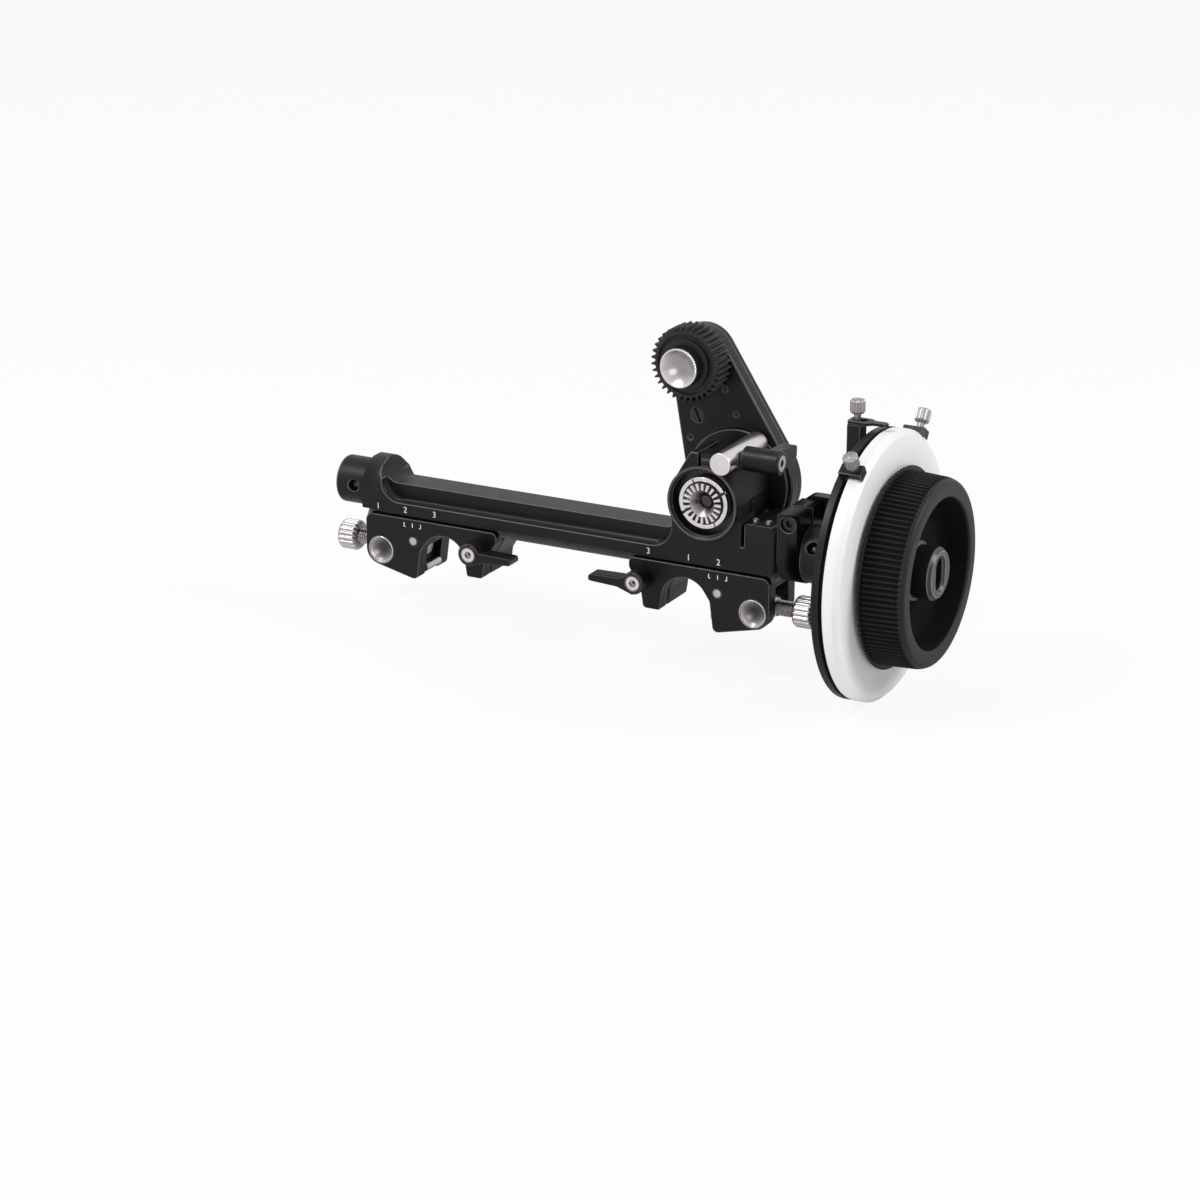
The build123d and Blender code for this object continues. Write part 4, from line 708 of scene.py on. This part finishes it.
def soft_copy(node, width, finish="black", segments=2, sharp_at=FAR_AWAY):
    """Copy of a CAD node with whole faces and rounded edges, which stands for the node."""
    build = bmesh.new()
    build.from_mesh(NODES[node].data)
    bmesh.ops.remove_doubles(build, verts=build.verts, dist=0.002 * MM)
    bmesh.ops.dissolve_limit(build, angle_limit=radians(0.6), verts=build.verts, edges=build.edges)
    weigh_edges(build, width, sharp_at)
    mesh = bpy.data.meshes.new(node + "_soft")
    build.to_mesh(mesh)
    build.free()
    for name in ("custom_normal", "sharp_edge", "sharp_face"):
        if name in mesh.attributes:
            mesh.attributes.remove(mesh.attributes[name])
    piece = shaded(linked(node + "_soft", mesh))
    bevel = piece.modifiers.new("Edges", "BEVEL")
    bevel.width, bevel.segments, bevel.limit_method = width, segments, "WEIGHT"
    bevel.miter_outer = "MITER_ARC"
    bevel.use_clamp_overlap = False
    bevel.material = 1
    mesh.materials.append(None)
    mesh.materials.append(FINISH[finish])
    piece.modifiers.new("Normals", "WEIGHTED_NORMAL")
    baked(piece)
    # Marks the rounded faces, where the anodised black finishes paint a highlight.
    edge = piece.data.attributes.new("edge", "FLOAT", "FACE")
    for face, value in zip(piece.data.polygons, edge.data):
        value.value = float(face.material_index)
        face.material_index = 0
    fitted(piece, node, finish)


# ------ operators
class Piece(bpy.types.Operator):
    """Base of the operators, each of which makes one piece or one group of like things."""

    bl_options = {"REGISTER", "UNDO"}

    def execute(self, context):
        self.make()
        return {"FINISHED"}


class FF_OT_finishes(Piece):
    """Makes the node trees and the finishes that the pieces use."""

    bl_idname = "ff.finishes"
    bl_label = "Finishes"

    def make(self):
        colour = bpy.context.scene.ff_colour
        black, steel = colour.black, colour.steel
        TREES.update(flutes=flute_group(), notches=notch_group(), ring=ring_group(), places=places_group(),
                     number=number_group())
        FINISH.update(
            black=anodised_black(black),
            socket=anodised_black(scaled(black, 1.6), "socket_black", 0.5),
            wheel=wheel_black(colour.rubber, bpy.context.scene.ff_wheel),
            # Satin rail, rubbed by the clamps to a mottled dark grey
            rail=mottled("rail_grey", scaled(black, 6.0), scaled(black, 24.0),
                         ((900, 5.0, 0.6, 0.14), (120, 3.0, 0.4, 0.0)), 0.34, 0.35, 0.012 * MM),
            # Moulded gear, dull with a fine sparkle
            gear=mottled("gear_black", scaled(colour.acetal, 0.8), scaled(colour.acetal, 1.5),
                         ((4200, 4.0, 0.5, 0.10), (260, 4.0, 0.5, 0.08)), 0.42, 0.0, 0.022 * MM,
                         Specular_IOR_Level=0.3),
            # Smooth plastic that takes a pen, with faint scuffs
            white=mottled("ring_white", scaled(colour.white, 0.965), scaled(colour.white, 1.02),
                          ((2600, 3.0, 0.3, 0.05), (70, 4.0, 0.7, 0.10)), 0.36),
            print=mottled("print_white", scaled(colour.print_white, 0.8), scaled(colour.print_white, 1.1),
                          ((9000, 3.0, 1.0, 0.10),), 0.5, bump=0),
            steel=mottled("inner_steel", scaled(steel, 0.6), scaled(steel, 0.9),
                          ((2600, 4.0, 1.0, 0.15),), 0.25, 1.0),
            screw=mottled("black_steel", scaled(black, 0.9), scaled(black, 2.2),
                          ((3800, 3.0, 1.0, 0.12),), 0.26, 0.25),
            brass=mottled("cut_brass", (0.50, 0.33, 0.12), (0.66, 0.46, 0.19),
                          ((3000, 4.0, 1.0, 0.15),), 0.22, 1.0))
        dull = scaled(steel, 0.48)
        # Colour, centre, axis, roughness, then a cup radius and the share of the colour at the axis: painted
        # shade in the nut's dish, the cones, the sockets and the thread and flute valleys.
        metals = {
            "nut": (steel, middle("gear_nut"), Y, 0.24, 7 * MM, 0.45),
            "saddle": (steel, middle("saddle_rod"), Y, 0.27),
            "rim": (steel, middle("rosette"), Y, 0.24),
            "rosette": (steel, middle("rosette"), Y, 0.24, 6 * MM, 0.08),
            "index": (dull, middle("index_screw"), Z, 0.38),
            "stop_a": (dull, *stop_axis("a"), 0.38),
            "stop_b": (dull, *stop_axis("b"), 0.38),
        }
        for side in SIDES:
            knob, stud = side + "_thumbscrew_knob", side + "_thumbscrew_stud"
            metals[side + "_barrel"] = (steel, middle(side + "_barrel_nut"), Y, 0.24, 5.6 * MM, 0.08)
            metals[side + "_knob"] = (scaled(steel, 0.85), middle(knob), X, 0.3, radius_of(knob), 0.2)
            metals[side + "_stud"] = (scaled(steel, 0.7), middle(stud), X, 0.3, radius_of(stud), 0.02)
            metals[side + "_kip"] = (steel, middle(side + "_kip_screw"), Y, 0.2, 1.4 * MM, 0.02)
        for name, settings in metals.items():
            FINISH[name] = turned_metal(name + "_metal", *settings)


def stop_axis(stop):
    """Centre and outward direction of a hard stop's screw."""
    centre = middle(f"stop_{stop}_screw")
    outward = Vector((0, centre.y, centre.z - DRIVE.z)).normalized()
    return centre, outward


class FF_OT_castings(Piece):
    """Black machined pieces with softened edges."""

    bl_idname = "ff.castings"
    bl_label = "Black machined pieces"

    def make(self):
        for node, width in SOFT_EDGES.items():
            soft_copy(node, width * MM)
        soft_copy("bridge_beam", 0.45 * MM, sharp_at=BEAM_END)
        soft_copy("crank_socket", 0.35 * MM, "socket")
        soft_copy("dovetail_rail", 0.3 * MM, "rail")


class FF_OT_handwheel(Piece):
    """Fluted handwheel with its dish."""

    bl_idname = "ff.handwheel"
    bl_label = "Handwheel"

    def make(self):
        wheel = bpy.context.scene.ff_wheel
        back, front = reach("handwheel", 0)
        outer, seat = radius_of("handwheel"), radius_of("drive_shaft")
        floor, edge, shoulder = front - wheel.dish_depth, back + wheel.flange, front - 2.6 * MM
        piece = turned("handwheel_fluted", (
            (back, seat), (back, outer, 0.15 * MM), (edge, outer, 0.15 * MM), (edge, wheel.body_radius),
            (shoulder, wheel.rim_radius, 1.2 * MM), (front, wheel.rim_radius - 1.2 * MM, 2.4 * MM),
            (front, wheel.mouth_radius, 0.8 * MM), (floor, wheel.mouth_radius - 2.2 * MM, 3.0 * MM),
            (floor, seat)), wheel.flutes * 8, 50, 6, (edge, shoulder, 0.45 * MM))
        run_out = tau * outer / wheel.flutes * wheel.flute_share
        fluted(piece, "wheel", wheel.flutes, wheel.flute_depth, edge + 0.05 * MM,
               front - wheel.flute_end, wheel.mouth_radius + 2 * MM, wheel.flute_share, 2.2, run_out)
        fitted(placed(piece, DRIVE), "handwheel")


class FF_OT_disc(Piece):
    """White marking ring and the black plate behind it."""

    bl_idname = "ff.disc"
    bl_label = "Ring and back plate"

    def make(self):
        back, front = reach("marking_ring", 0)
        outer = radius_of("marking_ring")
        seat, bevel = 33 * MM, 1.9 * MM
        piece = turned("marking_ring_smooth", (
            (back, seat, 0.1 * MM), (back, outer, 0.12 * MM), (front - bevel, outer, 0.3 * MM),
            (front, outer - bevel, 0.3 * MM), (front, seat, 0.3 * MM)), 256, 40, 4)
        fitted(placed(piece, DRIVE), "marking_ring", "white")
        first, last = reach("back_plate", 0)
        bore, groove, deep = radius_of("drive_shaft"), back - 1.5 * MM, outer - 1.9 * MM
        piece = turned("back_plate_smooth", (
            (first, bore), (first, outer, 0.5 * MM), (groove, outer, 0.2 * MM), (groove, deep),
            (back, deep), (back, seat), (last, seat, 0.3 * MM), (last, bore)), 256, 40, 4)
        fitted(placed(piece, DRIVE), "back_plate", "black")


class FF_OT_hubs(Piece):
    """Two hubs with a drilled cross hole each."""

    bl_idname = "ff.hubs"
    bl_label = "Hubs"

    def make(self):
        for node in ("left_hub", "right_hub"):
            soft_copy(node, 0.4 * MM, segments=3)


class FF_OT_clamp_screws(Piece):
    """Knurled knobs, threaded studs and dished cross nuts of the two clamps."""

    bl_idname = "ff.clamp_screws"
    bl_label = "Clamp screws"

    def make(self):
        for side, sign in SIDES.items():
            self.knob(side, sign)
            self.stud(side, sign)
            self.cross_nut(side)

    def knob(self, side, sign):
        """Fluted knob with a shallow recess in its end."""
        node, flutes = side + "_thumbscrew_knob", bpy.context.scene.ff_knurl.knob_flutes
        low, high = reach(node, 0)
        length, outer = high - low, radius_of(node)
        bore, bevel, recess = 3.05 * MM, 0.9 * MM, length - 0.25 * MM
        piece = turned(node + "_knurled", (
            (0, bore), (0, outer - bevel, 0.3 * MM), (bevel, outer, 0.4 * MM),
            (length - bevel, outer, 0.4 * MM), (length, outer - bevel, 0.3 * MM),
            (length, outer - 2.2 * MM, 0.2 * MM), (recess, outer - 2.4 * MM, 0.1 * MM),
            (recess, 0), (2 * MM, 0), (2 * MM, bore)),
            flutes * 12, 40, 3, (0, length, 0.3 * MM))
        fluted(piece, side + "_knob", flutes, 0.6 * MM, -1 * MM, length + 1 * MM, outer * 0.8, 0.30, 1.6)
        fitted(placed(piece, (low if sign > 0 else high, 0, 0), X * sign), node)

    def stud(self, side, sign):
        """Threaded stud with a plain point."""
        node, pitch = side + "_thumbscrew_stud", bpy.context.scene.ff_knurl.pitch
        low, high = reach(node, 0)
        length, outer = high - low, radius_of(node)
        piece = turned(node + "_threaded", (
            (0, 0), (0, 1.4 * MM, 0.3 * MM), (1.2 * MM, outer, 0.2 * MM), (length, outer),
            (length, 0)), 48, 60, 3, (0, length, pitch / 12))
        fluted(piece, side + "_stud", 1, 0.5 * MM, 0.8 * MM, length - 0.5 * MM, outer * 0.6, 0.46, 1.0,
               0.5 * MM, 1 / pitch)
        fitted(placed(piece, (low if sign > 0 else high, 0, 0), X * sign), node)

    def cross_nut(self, side):
        """Nut across the clamp with a rim, a step and a cone at either end."""
        node = side + "_barrel_nut"
        start, length, outer = about_y(node)
        cup, step, inner, cone = 3.6 * MM, 0.35 * MM, outer - 0.45 * MM, outer - 1.08 * MM
        piece = turned(node + "_dished", (
            (cup, 0), (step * 2, cone, 0.3 * MM), (step, inner, 0.1 * MM), (0, inner, 0.1 * MM),
            (0, outer, 0.25 * MM), (length, outer, 0.25 * MM), (length, inner, 0.1 * MM),
            (length - step, inner, 0.1 * MM), (length - step * 2, cone, 0.3 * MM), (length - cup, 0)),
            96, 30, 4)
        fitted(placed(piece, start, Y), node, side + "_barrel")


class FF_OT_gear(Piece):
    """Lens gear with eased teeth, and its dished nut."""

    bl_idname = "ff.gear"
    bl_label = "Lens gear and nut"

    def make(self):
        soft_copy("drive_gear", 0.14 * MM, "gear")
        flutes = bpy.context.scene.ff_knurl.nut_flutes
        start, length, outer = about_y("gear_nut")
        face, hollow = 0.9 * MM, 2.6 * MM
        dish = [(hollow * (1 - (k / 16) ** 2), (outer - 0.8 * MM) * k / 16) for k in range(17)]
        rim = [(0, outer - 0.35 * MM), (0.08 * MM, outer - 0.17 * MM), (0.28 * MM, outer - 0.1 * MM),
               (face, outer - 0.1 * MM), (face, outer - 2 * MM), (2.9 * MM, outer - 3 * MM), (2.9 * MM, 0)]
        profile = divided([Vector(point) for point in dish + rim], 0, face, 0.2 * MM)
        piece = shaded(lathe("gear_nut_face", profile, flutes * 8), 30)
        fluted(piece, "nut", flutes, 0.22 * MM, -1 * MM, length, outer * 0.93, 0.42, 1.3)
        fitted(placed(piece, start, Y), "gear_nut")
        inner = outer - 1.4 * MM
        piece = turned("gear_nut_collar", (
            (face, inner), (face, outer, 0.2 * MM), (length, outer, 0.2 * MM), (length, inner)),
            flutes * 8, 30, 3, (0, length, 0.4 * MM))
        fluted(piece, "black", flutes, 0.32 * MM, -1 * MM, length + 1 * MM, outer * 0.9, 0.42, 1.3)
        fitted(placed(piece, start, Y), "gear_nut")


class FF_OT_rosette(Piece):
    """Toothed coupling face with its cone, four notches and hexagon socket, and the bar beside the ears."""

    bl_idname = "ff.rosette"
    bl_label = "Rosette and saddle bar"

    def make(self):
        self.coupling(*about_y("rosette"))
        start, length, outer = about_y("saddle_rod")
        piece = turned("saddle_rod_smooth", (
            (0, 0), (0, outer, 0.45 * MM), (length, outer, 0.6 * MM), (length, 0)), 96, 30, 4)
        fitted(placed(piece, start, Y), "saddle_rod", "saddle")

    def coupling(self, front, depth, outer):
        """Rim with four notches, proud ring of teeth, funnel with a socket, and between them a black floor
        that is painted shade.
        """
        floor, mouth, socket, end = 0.9 * MM, 5.1 * MM, 2.3 * MM, depth - 0.1 * MM
        wall, crown, under, edge = outer - 1.6 * MM, outer - 2.2 * MM, mouth - 0.4 * MM, outer - 0.2 * MM
        # Painted shade: a black floor deep between the teeth and the rim.
        piece = turned("rosette_floor", (
            (floor, under), (floor, edge), (depth, edge), (depth, under)), 128)
        fitted(placed(piece, front, Y), "rosette", "screw")
        piece = turned("rosette_rim", (
            (0, wall, 0.15 * MM), (0, outer, 0.2 * MM), (depth, outer), (depth, wall)),
            480, cuts=(0, depth, 0.4 * MM))
        run_group(piece, "notches", "rim", count=4.0, first=radians(60), half_width=0.45 * MM,
                  depth=1.2 * MM)
        fitted(placed(piece, front, Y), "rosette")
        tooth = ring_tooth(mouth, crown, floor + 0.3 * MM, 1.0 * MM)
        teeth = ring_of("rosette_teeth", tooth, "rim", COUPLING_TEETH)
        fitted(placed(shaded(teeth, 30), front, Y), "rosette")
        # The funnel's finish darkens it towards its socket, painted shade.
        piece = turned("rosette_funnel", (
            (-0.8 * MM, mouth, 0.15 * MM), (floor, mouth), (depth, mouth), (depth, 0), (end, 0),
            (end, socket), (2.0 * MM, socket, 0.2 * MM)), 128, 30, 4)
        fitted(placed(piece, front, Y), "rosette", "rosette")


def ring_tooth(inner, outer, floor, proud):
    """One tooth of a face coupling, pointing along -X, with sloping flanks."""
    build = bmesh.new()
    corners = []
    for x, share in ((floor, 0.62), (-proud + 0.15 * MM, 0.46), (-proud, 0.38)):
        half = share * tau / COUPLING_TEETH / 2 * 1.15
        for radius in (inner, outer):
            for angle in (-half, half):
                corners.append(build.verts.new((x, radius * sin(angle), radius * cos(angle))))
    faces = [(0, 1, 3, 2)]
    for level in (0, 4):
        for a, b in ((0, 1), (1, 3), (3, 2), (2, 0)):
            faces.append((level + a, level + b, level + 4 + b, level + 4 + a))
    faces.append((8, 10, 11, 9))
    for face in faces:
        build.faces.new([corners[number] for number in face])
    return closed("tooth", build)


class FF_OT_small_screws(Piece):
    """Knurled screws of the pointer and the hard stops, and the set screws of the block."""

    bl_idname = "ff.small_screws"
    bl_label = "Small knurled screws"

    def make(self):
        self.screw("index_screw", middle("index_screw"), Z, "index")
        for stop in "ab":
            self.screw(f"stop_{stop}_screw", *stop_axis(stop), "stop_" + stop)
        self.set_screws("boss_set_screws")

    def set_screws(self, node):
        """Two set screws whose dished ends stand proud of the block."""
        outer, proud = 1.3 * MM, 1.4 * MM
        low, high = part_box(node)
        length, wall = high.z - low.z + proud, outer - 0.05 * MM
        template = turned("set_screw", (
            (0, 0), (0, wall), (length, wall, 0.4 * MM), (length, 0.75 * MM, 0.1 * MM),
            (length - 1 * MM, 0.6 * MM), (length - 1.1 * MM, 0)), 48, 30)
        placed(template, (0, 0, 0), Z)
        places = [(x, middle(node).y, low.z) for x in (low.x + outer, high.x - outer)]
        fitted(copies_at(node + "_dished", template, "index", places), node)

    def screw(self, node, centre, along, finish):
        """Knurled head on a plain shank, as long as the CAD node along its axis."""
        flutes = bpy.context.scene.ff_knurl.screw_flutes
        head, outer, thread = 5.2 * MM, 2.8 * MM, 1.3 * MM
        points = [(vertex.co - centre).dot(along) for vertex in NODES[node].data.vertices]
        low, high = min(points), max(points)
        seat, point, bevel = high - head, 0.25 * MM, 0.45 * MM
        piece = turned(node + "_knurled", (
            (low, 0), (low, thread - point), (low + point, thread, 0.1 * MM),
            (seat, thread, 0.15 * MM), (seat, outer - 0.7 * MM, 0.2 * MM),
            (seat + 0.7 * MM, outer, 0.25 * MM), (high - bevel, outer, 0.25 * MM),
            (high, outer - bevel, 0.2 * MM), (high, 0)),
            flutes * 12, 40, 3, (seat, high, 0.25 * MM))
        fluted(piece, finish, flutes, 0.32 * MM, seat - 1 * MM, high + 1 * MM, outer * 0.8, 0.32, 1.6)
        fitted(placed(piece, centre, along), node)


class FF_OT_marks(Piece):
    """Numbers printed on the beam for the three rod spacings, and index strokes on the clamps."""

    bl_idname = "ff.marks"
    bl_label = "Printed marks"

    def make(self):
        ink, height, size = 0.02 * MM, 18.6 * MM, 3.4 * MM
        face = reach("bridge_beam", 1)[0] - ink
        for number, places in NUMBER_PLACES.items():
            for x, side in zip(places, SIDES):
                piece = linked(f"number_{number}_{side}", bpy.data.meshes.new("number"))
                run_group(piece, "number", "print", text=number, size=size, place=(x * MM, face, height))
                self.print_on(piece, "bridge_beam")
        for side, sign in SIDES.items():
            node = side + "_clamp_body"
            x, face, top = sign * 65.7 * MM, reach(node, 1)[0] - ink, reach(node, 2)[1] - 1.5 * MM
            corners, faces = [], []
            for x0, x1, z0, z1 in INDEX_STROKES:
                first = len(corners)
                ends = ((x0, z0), (x1, z0), (x1, z1), (x0, z1))
                corners += [(x + across * MM, face, top + up * MM) for across, up in ends]
                faces.append((first, first + 1, first + 2, first + 3))
            mesh = bpy.data.meshes.new(side + "_index_strokes")
            mesh.from_pydata(corners, [], faces)
            mesh.materials.append(FINISH["print"])
            self.print_on(linked(side + "_index_strokes", mesh), node)

    def print_on(self, piece, node):
        """Lets a mark ride on the body of a node."""
        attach(piece, BODY_OF[node])


class FF_OT_inside(Piece):
    """Finishes of the CAD nodes that keep their own shape."""

    bl_idname = "ff.inside"
    bl_label = "Shafts, gears and screws"

    def make(self):
        finish_of = {"idler_gear": "brass", "left_kip_screw": "left_kip", "right_kip_screw": "right_kip"}
        for node in ("bracket_screw", "backlash_screw", "arm_cover_screws", "hub_balls", "gearbox_bearings"):
            finish_of[node] = "screw"
        for node, piece in NODES.items():
            if not piece.hide_render:
                dress(piece, finish_of.get(node, "steel"))


class FF_OT_stage(Piece):
    """Floor, lamps, world and camera."""

    bl_idname = "ff.stage"
    bl_label = "Stage"

    def make(self):
        scene = bpy.context.scene
        self.floor()
        self.world(scene.ff_stage.world)
        self.lamp("key", (-0.55, -0.75, 1.15), 0.5, 12.5)
        self.lamp("side", (1.15, 0.35, 0.75), 0.5, 9.0)
        self.lamp("front", (0.25, -1.5, 0.2), 0.8, 3.5)
        self.camera(scene.ff_stage)
        scene.view_settings.view_transform = "Standard"

    def floor(self):
        """Pale floor at the lowest point of the object, nearly white to the camera."""
        low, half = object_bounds()[0][2], 6.0
        mesh = bpy.data.meshes.new("floor")
        mesh.from_pydata([(-half, -half, low), (half, -half, low), (half, half, low), (-half, half, low)],
                         [], [(0, 1, 2, 3)])
        floor = linked("floor", mesh)
        material, tree, out, where = new_material("floor_paper")
        shade = tinted(tree, (0.80, 0.80, 0.80), (0.84, 0.84, 0.84), noise(tree, where, 40))
        paper = surface(tree, out, shade, 0.6)
        glow = tree.add("ShaderNodeEmission", {"Color": (1, 1, 1, 1), "Strength": 1.0})
        seen = tree.add("ShaderNodeLightPath", out="Is Camera Ray")
        tree.join(tree.add("ShaderNodeMixShader", {0: seen * 0.90, 1: paper, 2: glow}), out)
        mesh.materials.append(material)
        floor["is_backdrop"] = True

    def world(self, strength):
        """White where it is seen, mirrored or seen through, and plain light at a strength."""
        world = bpy.data.worlds.new("studio")
        bpy.context.scene.world = world
        world.use_nodes = True
        world.node_tree.nodes.clear()
        tree = Tree(world.node_tree)
        path = tree.add("ShaderNodeLightPath").socket.node
        camera, glossy, through = (Flow(tree, path.outputs[f"Is {ray} Ray"])
                                   for ray in ("Camera", "Glossy", "Transmission"))
        white = camera.math("MAXIMUM", glossy).math("MAXIMUM", through)
        level = white * (1 - strength) + strength
        shine = tree.add("ShaderNodeBackground", {"Color": (1, 1, 1, 1), "Strength": level})
        tree.join(shine, tree.add("ShaderNodeOutputWorld"))

    def lamp(self, name, place, size, power):
        """Round lamp at a place, aimed at the origin."""
        data = bpy.data.lights.new(name, "AREA")
        data.shape, data.size, data.energy = "DISK", size, power
        lamp = linked(name, data)
        lamp.location = place
        lamp.rotation_euler = (-Vector(place)).to_track_quat("-Z", "Y").to_euler()

    def camera(self, sizes):
        """Camera at its eye point, turned by azimuth and elevation."""
        data = bpy.data.cameras.new("camera")
        data.lens, data.sensor_width = sizes.lens, 36.0
        data.clip_start, data.clip_end = 0.01, 50
        camera = linked("camera", data)
        camera.location = sizes.eye
        camera.rotation_euler = (pi / 2 - sizes.elevation, 0, sizes.azimuth)
        bpy.context.scene.camera = camera


STEPS = (FF_OT_finishes, FF_OT_castings, FF_OT_handwheel, FF_OT_disc, FF_OT_hubs, FF_OT_clamp_screws,
         FF_OT_gear, FF_OT_rosette, FF_OT_small_screws, FF_OT_marks, FF_OT_inside, FF_OT_stage)


class FF_PT_panel(bpy.types.Panel):
    """Lists the sizes, the colours and the steps."""

    bl_idname = "FF_PT_panel"
    bl_label = "Follow focus unit"
    bl_space_type = "VIEW_3D"
    bl_region_type = "UI"
    bl_category = "Follow Focus"

    def draw(self, context):
        for key, group in GROUPS.items():
            box = self.layout.box()
            for name in group.__annotations__:
                box.prop(getattr(context.scene, key), name)
        for step in STEPS:
            self.layout.operator(step.bl_idname)


CLASSES = (*GROUPS.values(), *STEPS, FF_PT_panel)


def register():
    """Registers the classes and hangs the property groups on the scene."""
    for item in CLASSES:
        bpy.utils.register_class(item)
    for key, group in GROUPS.items():
        setattr(bpy.types.Scene, key, PointerProperty(type=group))


def unregister():
    """Takes it all back."""
    for key in GROUPS:
        delattr(bpy.types.Scene, key)
    for item in reversed(CLASSES):
        bpy.utils.unregister_class(item)


def main():
    """Makes everything in order."""
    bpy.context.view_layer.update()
    register()
    for step in STEPS:
        area, name = step.bl_idname.split(".")
        getattr(getattr(bpy.ops, area), name)()


if __name__ == "__main__":
    main()
